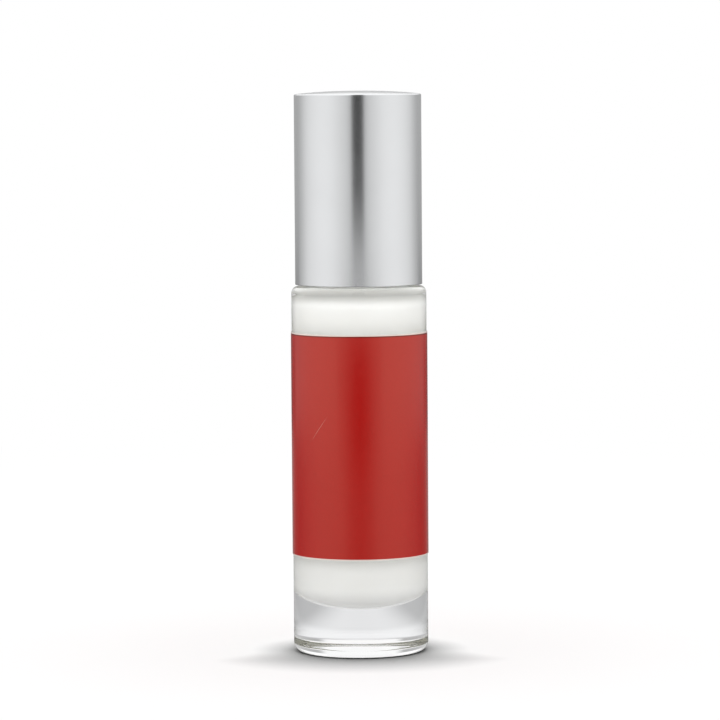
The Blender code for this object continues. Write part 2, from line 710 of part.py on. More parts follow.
def make_closure(parent):
    """The screw closure: a skirt round the neck and a web that holds the pump down."""
    hole = CHIMNEY_RADIUS + RUNNING_GAP
    foot = SHOULDER_HEIGHT + CLOSURE_FOOT_GAP - WEB_LEVEL
    outline = [
        (hole, CLOSURE_WEB),
        (CLOSURE_RADIUS - CLOSURE_EDGE, CLOSURE_WEB),
        (CLOSURE_RADIUS, CLOSURE_WEB - CLOSURE_EDGE),
        (CLOSURE_RADIUS, foot),
        (CLOSURE_BORE_RADIUS, foot),
        (CLOSURE_BORE_RADIUS, 0.0),
        (hole, 0.0),
    ]
    return turned("closure", outline, BODY_STEPS, white_plastic(), WEB_LEVEL, parent, ring=True)


def make_collar(parent):
    """The drawn aluminium collar over the closure, with the chimney that the button dips into."""
    foot = SHOULDER_HEIGHT + COLLAR_FOOT_GAP - COLLAR_TOP
    rim = COLLAR_RIM - COLLAR_TOP
    fillet = COLLAR_CHIMNEY_FILLET
    shoulder = CLOSURE_EDGE + COLLAR_WALL
    outline = [(COLLAR_CHIMNEY_RADIUS, rim)]
    outline += arc((COLLAR_CHIMNEY_RADIUS + fillet, fillet), (fillet, fillet), 180, 270, 1)
    outline += arc((COLLAR_RADIUS - shoulder, -shoulder), (shoulder, shoulder), 90, 0)
    outline.append((COLLAR_RADIUS, foot))
    collar = turned("closure_collar", outline, BODY_STEPS, aluminium(), COLLAR_TOP, parent)
    thicken(collar, COLLAR_WALL, -1.0)
    return collar


def make_button(parent):
    """The plastic button: finger dish, boss on the stem, and the channel to the nozzle."""
    skirt = SKIRT_LEVEL - BUTTON_LEVEL
    ledge = BUTTON_HEIGHT - BUTTON_RIM_DROP
    rim = BUTTON_RADIUS - BUTTON_RIM_INSET
    dish = rim - BUTTON_RIM_WIDTH
    boss_bore = STEM_RADIUS + PRESS_GAP
    boss = boss_bore + BUTTON_BOSS_WALL
    channel_height = NOZZLE_LEVEL - BUTTON_LEVEL
    outline = arc((0.0, BUTTON_HEIGHT), (dish, DISH_DEPTH), -90, 0, ARC_STEPS + 1)
    outline += [
        (rim - BUTTON_RIM_INSET, BUTTON_HEIGHT),
        (rim, BUTTON_HEIGHT - BUTTON_RIM_INSET),
        (rim, ledge),
        (BUTTON_RADIUS - SLEEVE_INNER_EDGE, ledge),
        (BUTTON_RADIUS, ledge - SLEEVE_INNER_EDGE),
        (BUTTON_RADIUS, skirt),
        (BUTTON_RADIUS - BUTTON_WALL, skirt),
        (BUTTON_RADIUS - BUTTON_WALL, BUTTON_HOLLOW_HEIGHT),
        (boss, BUTTON_HOLLOW_HEIGHT),
        (boss, 0.0),
        (boss_bore, 0.0),
        (boss_bore, STEM_GRIP + PRESS_GAP),
        (STEM_BORE_RADIUS, STEM_GRIP + PRESS_GAP),
        (STEM_BORE_RADIUS, channel_height),
        (0.0, channel_height),
    ]
    button = turned("actuator", outline, PUMP_STEPS, white_plastic(), BUTTON_LEVEL, parent)
    seat = SLEEVE_RADIUS - NOZZLE_DEPTH - PRESS_GAP
    bar = forward_bar(NOZZLE_LEVEL, 0.0, seat + CUT_OVERRUN)
    channel = rods_mesh("channel_drill", CHANNEL_RADIUS, seat + CUT_OVERRUN, [bar])
    combine(button, add_cutter("channel_drill", channel), "DIFFERENCE")
    mouth = BUTTON_RADIUS + CUT_OVERRUN
    bar = forward_bar(NOZZLE_LEVEL, seat, mouth)
    pocket = rods_mesh("nozzle_pocket_drill", NOZZLE_RADIUS + PRESS_GAP, mouth - seat, [bar])
    combine(button, add_cutter("nozzle_pocket_drill", pocket), "DIFFERENCE")
    return button


def make_sleeve(parent):
    """The thin aluminium sleeve round the button, open at the nozzle."""
    top = BUTTON_HEIGHT - BUTTON_RIM_DROP + PRESS_GAP + SLEEVE_WALL
    skirt = SKIRT_LEVEL - BUTTON_LEVEL
    edge = SLEEVE_INNER_EDGE + SLEEVE_WALL
    mouth = BUTTON_RADIUS - BUTTON_RIM_INSET + PRESS_GAP
    outline = [(mouth, top)]
    outline += arc((SLEEVE_RADIUS - edge, top - edge), (edge, edge), 90, 0, 2)
    outline.append((SLEEVE_RADIUS, skirt))
    sleeve = turned("actuator_sleeve", outline, PUMP_STEPS, aluminium(), BUTTON_LEVEL, parent)
    thicken(sleeve, SLEEVE_WALL, -1.0)
    start = BUTTON_RADIUS - BUTTON_WALL
    end = SLEEVE_RADIUS + CUT_OVERRUN
    bar = forward_bar(NOZZLE_LEVEL, start, end)
    drill = rods_mesh("sleeve_drill", NOZZLE_RADIUS + NOZZLE_HOLE_GAP, end - start, [bar])
    combine(sleeve, add_cutter("sleeve_drill", drill), "DIFFERENCE")
    return sleeve


def make_nozzle(parent):
    """The nozzle insert, pressed into the button and standing out of the sleeve."""
    length = NOZZLE_DEPTH + NOZZLE_REACH
    outline = [
        (NOZZLE_BORE_RADIUS, length - NOZZLE_CONE_DEPTH),
        (NOZZLE_CONE_RADIUS, length),
        (NOZZLE_RADIUS - NOZZLE_CHAMFER, length),
        (NOZZLE_RADIUS, length - NOZZLE_CHAMFER),
        (NOZZLE_RADIUS, 0.0),
        (NOZZLE_BORE_RADIUS, 0.0),
    ]
    nozzle = turned("nozzle_insert", outline, FINE_STEPS, white_plastic(), ring=True)
    nozzle.location = (0.0, NOZZLE_DEPTH - SLEEVE_RADIUS, NOZZLE_LEVEL)
    nozzle.rotation_euler.x = math.radians(90)
    carry(nozzle, parent)
    return nozzle


def make_cap_shell(parent):
    """The pull-off cap's aluminium shell, with a low domed top and a rounded edge."""
    edge = CAP_EDGE_RADIUS
    flat = CAP_RADIUS - edge
    foot = CAP_FOOT - CAP_RIM
    outline = arc((0.0, 0.0), (flat, CAP_DOME), 90, 0, ARC_STEPS + 1)[:-1]
    outline += arc((flat, -edge), (edge, edge), 90, 0)
    outline.append((CAP_RADIUS, foot))
    shell = turned("overcap_shell", outline, BODY_STEPS, aluminium(), CAP_RIM, parent)
    thicken(shell, CAP_WALL, -1.0)
    return shell


def make_cap_liner(parent):
    """The cap's plastic liner, whose ribs grip the collar."""
    foot = CAP_FOOT + LINER_FOOT_INSET - ROOF_LEVEL
    corner = CAP_EDGE_RADIUS
    outline = [(0.0, LINER_ROOF)]
    outline += arc((LINER_RADIUS - corner, LINER_ROOF - corner), (corner, corner), 90, 0, 2)
    outline += [(LINER_RADIUS, foot), (LINER_BORE_RADIUS, foot), (LINER_BORE_RADIUS, 0.0), (0.0, 0.0)]
    liner = turned("overcap_liner", outline, BODY_STEPS, natural_plastic(), ROOF_LEVEL, parent)
    depth = GRIP_RIB_HEIGHT + LINER_WALL / 2
    offset = LINER_BORE_RADIUS - GRIP_RIB_HEIGHT + depth / 2
    height = ROOF_LEVEL + foot + GRIP_RIB_INSET + GRIP_RIB_LENGTH / 2
    places = []
    for index in range(GRIP_RIB_COUNT):
        turn = Matrix.Rotation(2 * math.pi * index / GRIP_RIB_COUNT, 4, "Z")
        places.append(turn @ Matrix.Translation((offset, 0.0, height)))
    ribs = boxes_mesh("grip_ribs", (depth, GRIP_RIB_WIDTH, GRIP_RIB_LENGTH), places)
    combine(liner, add_cutter("grip_ribs", ribs), "UNION")
    return liner


def main():
    clear_scene()
    new_collection("serum_bottle")
    new_collection("serum_bottle_cutters")

    make_bottle()
    make_serum()
    make_label()

    pump = carrier("pump_lift", GASKET_LEVEL)
    make_gasket(pump)
    make_housing(pump)
    make_dip_tube(pump)
    make_spring_cup(pump)
    make_guide(pump)
    make_spring(pump)

    valve = carrier("ball_lift", BALL_LEVEL, pump)
    make_ball(valve)

    press = carrier("actuator_press", STOP_LEVEL, pump)
    make_stem(press)
    make_rod(press)
    shift = carrier("piston_shift", PISTON_LEVEL, press)
    make_piston(shift)

    swivel = carrier("actuator_swivel", BUTTON_LEVEL, press)
    make_button(swivel)
    make_sleeve(swivel)
    make_nozzle(swivel)

    turn = carrier("closure_turn", WEB_LEVEL, pump)
    make_closure(turn)
    make_collar(turn)

    pull = carrier("cap_pull", CAP_FOOT, turn)
    make_cap_shell(pull)
    make_cap_liner(pull)


main()
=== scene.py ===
"""Looks of a serum pump bottle: heavy clear glass, milky filling, red wrap label, pump and pull-off cap."""

import math
from typing import NamedTuple

import bmesh
import bpy
from mathutils import Matrix, Vector


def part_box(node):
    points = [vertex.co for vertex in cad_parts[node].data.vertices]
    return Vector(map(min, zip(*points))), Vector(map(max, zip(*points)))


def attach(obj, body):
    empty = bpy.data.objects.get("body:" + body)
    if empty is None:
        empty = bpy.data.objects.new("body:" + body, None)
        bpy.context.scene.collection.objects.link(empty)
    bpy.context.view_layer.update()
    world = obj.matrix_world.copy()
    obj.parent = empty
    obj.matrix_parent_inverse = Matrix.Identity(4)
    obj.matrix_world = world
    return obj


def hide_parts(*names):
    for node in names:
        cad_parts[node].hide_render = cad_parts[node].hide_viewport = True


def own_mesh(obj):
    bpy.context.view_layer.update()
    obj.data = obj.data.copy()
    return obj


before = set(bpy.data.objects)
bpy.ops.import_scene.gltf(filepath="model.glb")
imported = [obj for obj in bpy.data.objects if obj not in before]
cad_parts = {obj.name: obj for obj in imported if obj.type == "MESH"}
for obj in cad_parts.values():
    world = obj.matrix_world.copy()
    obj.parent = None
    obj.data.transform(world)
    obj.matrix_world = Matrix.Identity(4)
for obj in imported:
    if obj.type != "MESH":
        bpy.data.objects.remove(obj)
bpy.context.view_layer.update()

bl_info = {
    "name": "Serum pump bottle",
    "version": (1, 0, 0),
    "blender": (4, 5, 0),
    "location": "View3D > Sidebar > Serum Bottle",
    "description": "Builds a glass serum bottle with its label, finger pump and aluminium cap",
    "category": "Add Mesh",
}

TURN = 2 * math.pi
QUARTER = math.pi / 2
DEGREES = 180 / math.pi
FINISH_ENDING = "_finish"

# Steps of round shapes
BODY_STEPS = 192
PUMP_STEPS = 96
DRILL_STEPS = 48
FINE_STEPS = 24
CURVE_STEPS = 20
ROUND_STEPS = 6
WIRE_SIDES = 14

# Distances in metres, and what else the shapes need
MERGE_DISTANCE = 1e-7
HOLD_DISTANCE = 0.0001
LONG_EDGE = 6 * HOLD_DISTANCE
CUT_OVERRUN = 0.0001
SHARP_ANGLE = math.radians(38)
DOME_SPREAD = 1.143
ROUND_SHARE = 0.97


class Extent(NamedTuple):
    """Radius of a CAD node about the bottle's axis, and its lowest and highest point."""

    radius: float
    foot: float
    top: float


def extent(node):
    """Where a CAD node lies."""
    low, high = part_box(node)
    return Extent(high.x, low.z, high.z)


# Properties


def length(name, default, description):
    """A length in metres."""
    unit = {"subtype": "DISTANCE", "unit": "LENGTH", "precision": 5, "min": 0.0}
    return bpy.props.FloatProperty(name=name, description=description, default=default, **unit)


def turn_angle(name, degrees, description):
    """An angle, given in degrees."""
    unit = {"subtype": "ANGLE", "unit": "ROTATION"}
    return bpy.props.FloatProperty(
        name=name, description=description, default=math.radians(degrees), **unit
    )


def level(name, default, description):
    """A plain number that isn't negative, such as a light's strength or a roughness."""
    return bpy.props.FloatProperty(name=name, description=description, default=default, min=0.0)


def count(name, default, description):
    """A number of like things."""
    return bpy.props.IntProperty(name=name, description=description, default=default, min=3)


def colour(name, default, description):
    """A colour."""
    return bpy.props.FloatVectorProperty(
        name=name, description=description, default=default, size=3, min=0.0, max=1.0, subtype="COLOR"
    )


class GlassSizes(bpy.types.PropertyGroup):
    """Sizes of the bottle, its thread and its filling."""

    hollow: length("Inner radius", 0.0090, "Radius of the space for the serum")
    base: length("Base thickness", 0.0078, "Glass under the lowest point of the inside")
    bowl: length("Bowl depth", 0.0042, "Height of the rounded inner bottom")
    heel: length("Heel radius", 0.00165, "Rounding between the body and the foot")
    foot_ring: length("Foot ring width", 0.0015, "Width of the ring that the bottle stands on")
    punt: length("Push-up depth", 0.0009, "Depth of the hollow under the base")
    shoulder: length("Shoulder height", 0.0652, "Height of the flat shoulder")
    shoulder_edge: length("Shoulder rounding", 0.0012, "Rounding of the shoulder's outer edge")
    inner_top: length("Inner shoulder height", 0.0641, "Height of the inside under the shoulder")
    mouth_rise: length("Inner shoulder rise", 0.0028, "Height of the curve under the shoulder")
    bore: length("Neck bore radius", 0.0043, "Radius of the hole in the neck")
    bore_fillet: length("Bore rounding", 0.0008, "Rounding at the foot of the neck's bore")
    neck: length("Neck radius", 0.00655, "Radius of the neck under its thread")
    neck_root: length("Neck root rounding", 0.0008, "Rounding between neck and shoulder")
    lip: length("Lip rounding", 0.0004, "Rounding of the neck's mouth")
    thread_rise: length("Thread height", 0.00072, "How far the thread stands out of the neck")
    thread_width: length("Thread width", 0.00115, "Width of the thread's bead at its foot")
    thread_pitch: length("Thread pitch", 0.002117, "Rise of the thread in one turn")
    thread_start: length("Thread start", 0.0715, "Height of the thread's lower end")
    thread_turns: level("Thread turns", 1.5, "Number of turns of the thread")
    serum_lap: length("Serum lap", 0.00002, "How far the liquid's skin stands in the glass")
    serum_room: length("Serum room", 0.0001, "Gap between the liquid and the pump")
    serum_rise: length("Serum rise", 0.0012, "How far the liquid stands in the neck's bore")


class LabelSizes(bpy.types.PropertyGroup):
    """Sizes of the wrap label."""

    inner: length("Inner radius", 0.01198, "Radius of the glued side")
    seam: length("Seam gap", 0.0015, "Gap between the film's ends at the back")
    edge: length("Edge rounding", 0.00003, "Rounding of the film's cut edges")
    # The pale cut line is the film's core colour together with a painted highlight.
    cut_line: length("Cut edge", 0.00018, "Height of the pale line where the film was cut")
    scratch_width: length("Scratch width", 0.00011, "Width of the hairline scratch")
    scratch_start: turn_angle("Scratch start", -44.4, "Angle from the front of its lower end")
    scratch_end: turn_angle("Scratch end", -26.9, "Angle from the front of its upper end")
    scratch_foot: length("Scratch foot", 0.0383, "Height of the scratch's lower end")
    scratch_top: length("Scratch top", 0.0430, "Height of the scratch's upper end")


class CapSizes(bpy.types.PropertyGroup):
    """Sizes of the pull-off cap, the screw closure and its collar."""

    rim: length("Rim rounding", 0.0001, "Rounding of thin rims")
    fillet: length("Inner rounding", 0.0003, "Rounding of the plastic's inner corners")
    shell_wall: length("Shell wall", 0.0005, "Thickness of the cap's aluminium")
    shell_edge: length("Shell edge", 0.0002, "Rounding of the cap's top edge")
    dome: length("Dome height", 0.00058, "Rise of the cap's top")
    liner_bore: length("Liner bore radius", 0.0097, "Radius inside the cap's liner")
    liner_roof: length("Liner roof", 0.00085, "Thickness of the liner's roof")
    liner_edge: length("Liner edge", 0.0008, "Rounding of the liner's top edge")
    ribs: count("Grip ribs", 6, "Number of ribs that grip the collar")
    rib_rise: length("Rib height", 0.0004, "How far a grip rib stands in")
    rib_width: length("Rib width", 0.0008, "Width of a grip rib")
    rib_length: length("Rib length", 0.0095, "Height of a grip rib")
    rib_inset: length("Rib inset", 0.0006, "Distance of a grip rib from the liner's foot")
    closure_bore: length("Closure bore radius", 0.0076, "Radius inside the screw closure")
    closure_hole: length("Closure hole radius", 0.0037, "Radius of the hole for the pump's chimney")
    closure_web: length("Closure web", 0.0011, "Thickness of the closure's roof")
    closure_edge: length("Closure edge", 0.0004, "Rounding of the closure's top edge")
    closure_thread: length("Closure thread", 0.00068, "How far the inner thread stands in")
    collar_wall: length("Collar wall", 0.0004, "Thickness of the collar's aluminium")
    collar_edge: length("Collar edge", 0.0008, "Rounding of the collar's shoulder")
    chimney: length("Chimney radius", 0.0077, "Outer radius of the collar's chimney")
    chimney_foot: length("Chimney foot", 0.08385, "Height of the collar's shoulder")
    chimney_root: length("Chimney root", 0.0002, "Rounding round the chimney's foot")
    chimney_mouth: length("Chimney mouth", 0.0005, "Rounding inside the chimney's foot")


class PumpSizes(bpy.types.PropertyGroup):
    """Sizes of the pump and its button."""

    soft: length("Mould rounding", 0.0001, "Rounding of the moulded pieces' corners")
    fit: length("Press gap", 0.00005, "Gap between pieces that are pressed together")
    play: length("Running gap", 0.0001, "Gap between pieces that slide")
    button_wall: length("Button wall", 0.0008, "Thickness of the button's skirt")
    button_foot: length("Boss foot", 0.0892, "Height of the boss that grips the stem")
    button_hollow: length("Button roof", 0.0906, "Height of the hollow under the button's roof")
    button_rim: length("Button rim radius", 0.0063, "Radius of the button's rim")
    button_ledge: length("Button ledge", 0.0958, "Height of the ledge that carries the sleeve")
    boss: length("Boss radius", 0.0029, "Radius of the button's boss")
    dish: length("Dish radius", 0.0052, "Radius of the finger dish")
    dish_depth: length("Dish depth", 0.0011, "Depth of the finger dish")
    sleeve_wall: length("Sleeve wall", 0.00035, "Thickness of the button's sleeve")
    sleeve_edge: length("Sleeve edge", 0.0005, "Rounding of the sleeve's top edge")
    nozzle_axis: length("Nozzle height", 0.09375, "Height of the nozzle's axis")
    nozzle_seat: length("Nozzle seat", 0.00495, "Distance of the nozzle's seat from the axis")
    nozzle_bore: length("Nozzle bore radius", 0.00045, "Radius of the nozzle's hole")
    nozzle_rim: length("Nozzle rim", 0.0004, "Width of the rim round the nozzle's mouth")
    nozzle_cone: length("Nozzle cone", 0.0006, "Depth of the nozzle's flared mouth")
    nozzle_gap: length("Nozzle gap", 0.00025, "Gap round the nozzle in the sleeve")
    channel: length("Channel radius", 0.0008, "Radius of the channel to the nozzle")
    stem: length("Stem radius", 0.00175, "Radius of the hollow stem")
    stem_bore: length("Stem bore radius", 0.0009, "Radius of the hole in the stem")
    stem_grip: length("Stem grip", 0.00225, "Depth of the stem's seat in the button")
    stop_level: length("Stop level", 0.0770, "Height of the stem's stop flange")
    stop_thickness: length("Stop thickness", 0.0008, "Thickness of the stem's stop flange")
    rod: length("Rod radius", 0.00085, "Radius of the valve rod")
    rod_head: length("Rod head", 0.0006, "Thickness of the rod's head under its cone")
    rod_flat: length("Rod flat", 0.00055, "Distance of the rod's flats from the axis")
    rod_flat_lap: length("Rod flat lap", 0.0008, "How far the flats reach out of the stem")
    pilot: length("Pilot radius", 0.00175, "Radius of the rod's end inside the spring")
    piston_channel: length("Piston channel", 0.00035, "Width of the way between rod and piston")
    piston_seat: length("Piston seat", 0.0009, "Height of the cone that meets the rod's head")
    piston_shelf: length("Piston shelf", 0.0031, "Height of the step under the stem's foot")
    piston_waist: length("Piston waist", 0.0005, "Depth of the waist between the lips")
    piston_lip: length("Piston lip", 0.0004, "Height of a wiping lip")
    piston_taper: length("Piston taper", 0.0007, "Height of the slope from a lip to the waist")
    housing_bore: length("Chamber radius", 0.0033, "Radius of the pump's chamber")
    housing: length("Housing radius", 0.0040, "Outer radius of the pump's housing")
    flange: length("Housing flange", 0.0010, "Thickness of the flange on the gasket")
    guide_bore: length("Guide bore radius", 0.00185, "Radius of the hole that centres the stem")
    guide_flange: length("Guide flange", 0.0008, "Thickness of the stem guide's flange")
    guide_lip: length("Guide flange width", 0.0018, "How far the guide's flange stands out")
    tail: length("Tail radius", 0.0022, "Outer radius of the dip tube's socket")
    pocket: length("Ball pocket radius", 0.0016, "Radius of the space round the ball")
    inlet: length("Inlet radius", 0.0008, "Radius of the hole under the ball")
    vent_radius: length("Vent radius", 0.0004, "Radius of the air vent in the housing")
    vent_level: length("Vent height", 0.0745, "Height of the air vent")
    tube_bore: length("Tube bore radius", 0.00075, "Radius inside the dip tube")
    tube_slant: length("Tube slant", 0.0012, "How much longer one side of the dip tube is")
    cup_plate: length("Cup plate", 0.0010, "Thickness of the spring cup's plate")
    cup_rim: length("Cup rim", 0.0005, "Thickness of the spring cup's rim")
    cup_holes: count("Cup holes", 3, "Number of holes in the spring cup")
    cup_hole: length("Cup hole radius", 0.0005, "Radius of a hole in the spring cup")
    cup_circle: length("Cup hole circle", 0.00145, "Distance of the cup's holes from the axis")
    wire: length("Wire diameter", 0.00045, "Thickness of the spring's wire")
    coil: length("Coil radius", 0.0023, "Radius of the spring at the middle of its wire")
    end_pitch: length("End pitch", 0.00095, "Rise of the first and the last turn")
    coils: count("Turns", 6, "Turns of the spring")


class Finishes(bpy.types.PropertyGroup):
    """Colours and roughness of the finishes."""

    film: colour("Label red", (0.48, 0.003, 0.003), "Colour of the label")
    film_back: colour("Label back", (0.96, 0.96, 0.95), "Colour of the label's glued side")
    film_roughness: level("Label roughness", 0.17, "Roughness of the label")
    scratch: colour("Scratch", (0.62, 0.20, 0.17), "Colour of the label where it is scratched")
    # The cut edge's colour is partly the film's core and partly a painted highlight.
    cut_edge_and_highlight: colour("Cut edge", (0.96, 0.88, 0.82), "Colour of the film's core at its cut edges")
    serum: colour("Serum", (0.98, 0.98, 0.955), "Colour of the milky serum")
    aluminium: colour("Aluminium", (0.86, 0.87, 0.88), "Colour of the satin aluminium")
    aluminium_roughness: level("Aluminium roughness", 0.20, "Roughness of the satin aluminium")
    natural: colour("Natural plastic", (0.84, 0.86, 0.85), "Colour of the unpigmented plastic")
    white: colour("White plastic", (0.86, 0.86, 0.85), "Colour of the white plastic")
    seal: colour("Foam seal", (0.72, 0.73, 0.75), "Colour of the foam gasket")
    steel: colour("Steel", (0.60, 0.60, 0.61), "Colour of the spring and the ball")


class Studio(bpy.types.PropertyGroup):
    """Camera, floor and light."""

    distance: length("Camera distance", 0.696, "Distance of the camera from the bottle's axis")
    height: length("Camera height", 0.1012, "Height of the camera over the floor")
    aside: length("Camera offset", 0.00013, "How far the camera stands to the right")
    tilt: turn_angle("Tilt", 4.048, "How far the camera looks down")
    roll: turn_angle("Roll", 0.40, "How far the camera is turned about its line of sight")
    lens: level("Lens", 195.9, "Focal length in millimetres")
    floor: length("Floor radius", 0.45, "Radius of the floor")
    floor_near: length("Floor fade start", 0.15, "Radius where the floor begins to fade to white")
    floor_far: length("Floor fade end", 0.40, "Radius where the floor is as white as the backdrop")
    floor_white: level("Floor white", 0.955, "Share of the light that the floor gives back")
    # The contact shade is ambient occlusion painted into the floor's colour.
    contact: length("Contact shade", 0.008, "Reach of the shade round the foot at the sides")
    contact_front: length("Front contact shade", 0.018, "Reach of the shade round the foot in front")
    side: level("Side light", 0.90, "Radiance of the brightest light at the sides")
    overhead: level("Top light", 1.12, "Radiance of the light overhead")
    fill: level("Fill", 1.58, "Gain of the front light that reaches the serum through the glass")
    fill_back: level("Back fill", 1.05, "Gain of the light from behind that reaches the serum")
    flag: level("Flag", 0.035, "Radiance of the dark cards in front of the bottle")
    flag_edge: level("Flag edge", 0.60, "Radiance of the label's card at its sides")
    flag_distance: length("Flag distance", 0.15, "Distance of the cards from the bottle's axis")


# Outlines


class Sweep(NamedTuple):
    """An elliptical arc of an outline, between two angles in degrees."""

    radius: float
    height: float
    across: float
    rise: float
    start: float
    end: float


def low_dome(rim, height, rise, outward=True):
    """The curve of a low dome between its rim and the axis. A negative rise makes a dish."""
    slope = math.acos(1 / DOME_SPREAD)
    tall = rise / (1 - math.sin(slope))
    angles = (90.0, math.degrees(slope)) if outward else (math.degrees(slope), 90.0)
    return Sweep(0.0, height + rise - tall, rim * DOME_SPREAD, tall, *angles)


def whole(shape):
    """All that a shape is made of."""
    return shape.verts[:] + shape.edges[:] + shape.faces[:]


def moved(shape, matrix, verts=None):
    """Move a shape, or some of its vertices."""
    bmesh.ops.transform(shape, matrix=matrix, verts=verts or shape.verts[:])
    return shape


def spin(shape, geom, angle, steps, axis=(0, 0, 1), **more):
    """Spin geometry about the bottle's axis, or another through the origin. Gives its last copy."""
    result = bmesh.ops.spin(
        shape, geom=geom, cent=(0, 0, 0), axis=axis, angle=angle, steps=steps, **more
    )
    return result["geom_last"]


def seal(shape, normals=True):
    """Merge vertices that coincide and turn the faces outwards."""
    bmesh.ops.remove_doubles(shape, verts=shape.verts[:], dist=MERGE_DISTANCE)
    if normals:
        bmesh.ops.recalc_face_normals(shape, faces=shape.faces[:])
    return shape


def arc(shape, part):
    """Add an arc to an outline. Gives its first and its last vertex."""
    start, angle = math.radians(part.start), math.radians(part.end - part.start)
    before = set(shape.verts)
    first = shape.verts.new((math.cos(start), 0.0, math.sin(start)))
    ending = spin(shape, [first], angle, CURVE_STEPS, axis=(0, -1, 0))
    new = [vert for vert in shape.verts if vert not in before]
    size = Matrix.Diagonal((part.across, 1.0, part.rise, 1.0))
    moved(shape, Matrix.Translation((part.radius, 0.0, part.height)) @ size, new)
    return first, [item for item in ending if isinstance(item, bmesh.types.BMVert)][0]


def wire(parts, rounding=0.0):
    """Join corners and arcs into one wire in the XZ plane and round its corners.

    A corner is a radius and a height, with a third number where its rounding is its own.
    A wire whose ends both lie on the axis stays open there.
    """
    shape = bmesh.new()
    ends, rounded = [], []
    for part in parts:
        if isinstance(part, Sweep):
            ends.append(arc(shape, part))
            continue
        radius, height, *own = part
        vert = shape.verts.new((radius, 0.0, height))
        ends.append((vert, vert))
        offset = own[0] if own else rounding
        if offset and radius:
            rounded.append((vert, offset))
    on_axis = max(ends[0][0].co.x, ends[-1][1].co.x) < MERGE_DISTANCE
    following = ends[1:] if on_axis else ends[1:] + ends[:1]
    for (_, last), (first, _) in zip(ends, following):
        shape.edges.new((last, first))
    for vert, offset in rounded:
        bmesh.ops.bevel(
            shape,
            geom=[vert],
            offset=offset * ROUND_SHARE,
            offset_type="OFFSET",
            segments=ROUND_STEPS,
            profile=0.5,
            affect="VERTICES",
            material=-1,
        )
    seal(shape, normals=False)
    hold_flats(shape)
    return shape


def hold_flats(shape):
    """Split long straight edges a little way from their ends, so that shading stays flat along them."""
    for edge in list(shape.edges):
        span = edge.calc_length()
        if span > LONG_EDGE:
            start, end = edge.verts
            _, near = bmesh.utils.edge_split(edge, start, HOLD_DISTANCE / span)
            rest = [item for item in near.link_edges if end in item.verts][0]
            bmesh.utils.edge_split(rest, end, HOLD_DISTANCE / (span - HOLD_DISTANCE))


def turned(parts, rounding=0.0, steps=PUMP_STEPS):
    """Spin an outline all the way round the bottle's axis."""
    shape = wire(parts, rounding)
    spin(shape, whole(shape), TURN, steps, use_merge=True)
    return seal(shape)


def peg(radius, start, end, steps):
    """A plain round peg on the axis."""
    return turned([(0.0, start), (radius, start), (radius, end), (0.0, end)], steps=steps)


def forward(shape, offset, height):
    """Lay a turned shape down so that it points along -Y from an offset, at a height."""
    return moved(shape, Matrix.Translation((0.0, -offset, height)) @ Matrix.Rotation(QUARTER, 4, "X"))


def cut(shape, *tools):
    """Cut tool shapes out of a shape."""
    body = loose_object("cut_body", shape)
    cutters = [loose_object("cut_tool", tool) for tool in tools]
    for cutter in cutters:
        step = body.modifiers.new("cut", "BOOLEAN")
        step.operation = "DIFFERENCE"
        step.solver = "EXACT"
        step.object = cutter
    bpy.context.view_layer.update()
    evaluated = body.evaluated_get(bpy.context.evaluated_depsgraph_get())
    result = bmesh.new()
    result.from_mesh(evaluated.to_mesh())
    evaluated.to_mesh_clear()
    for item in (body, *cutters):
        mesh = item.data
        bpy.data.objects.remove(item)
        bpy.data.meshes.remove(mesh)
    return result


def loose_object(name, shape):
    """An object made of a shape, which is used up."""
    mesh = bpy.data.meshes.new(name)
    shape.to_mesh(mesh)
    shape.free()
    item = bpy.data.objects.new(name, mesh)
    bpy.context.scene.collection.objects.link(item)
    return item


def slice_wall(shape, wall, heights):
    """Cut the faces of a round wall into rings at some heights."""
    for height in heights:
        near = [
            face
            for face in shape.faces
            if all(abs(vert.co.xy.length - wall) < HOLD_DISTANCE / 2 for vert in face.verts)
        ]
        edges = dict.fromkeys(edge for face in near for edge in face.edges)
        verts = dict.fromkeys(vert for face in near for vert in face.verts)
        bmesh.ops.bisect_plane(
            shape,
            geom=[*near, *edges, *verts],
            dist=MERGE_DISTANCE,
            plane_co=(0, 0, height),
            plane_no=(0, 0, 1),
        )


def raise_thread(shape, wall, rise, sizes, rings, shift=0.0):
    """Cut a wall into rings and move them out along a helical bead, or in where rise is negative."""
    pitch, width = sizes.thread_pitch, sizes.thread_width
    start, step = sizes.thread_start + shift * pitch, width / rings
    cuts = int((pitch * sizes.thread_turns + 2 * width) / step) + 1
    slice_wall(shape, wall, [start - width + index * step for index in range(cuts)])
    span = sizes.thread_turns * TURN
    for vert in shape.verts:
        radius = vert.co.xy.length
        if abs(radius - wall) > HOLD_DISTANCE:
            continue
        angle = math.atan2(vert.co.y, vert.co.x) % TURN
        along = vert.co.z - start
        turns = round((along / pitch * TURN - angle) / TURN)
        total = turns * TURN + angle
        away = (along - total / TURN * pitch) / (width / 2)
        fade = min(1.0, max(0.0, total), max(0.0, span - total))
        if abs(away) < 1 and fade > 0:
            bead = math.sqrt(math.cos(away * QUARTER)) * math.sin(fade * QUARTER)
            vert.co.xy *= (wall + rise * bead) / radius


# Nodes


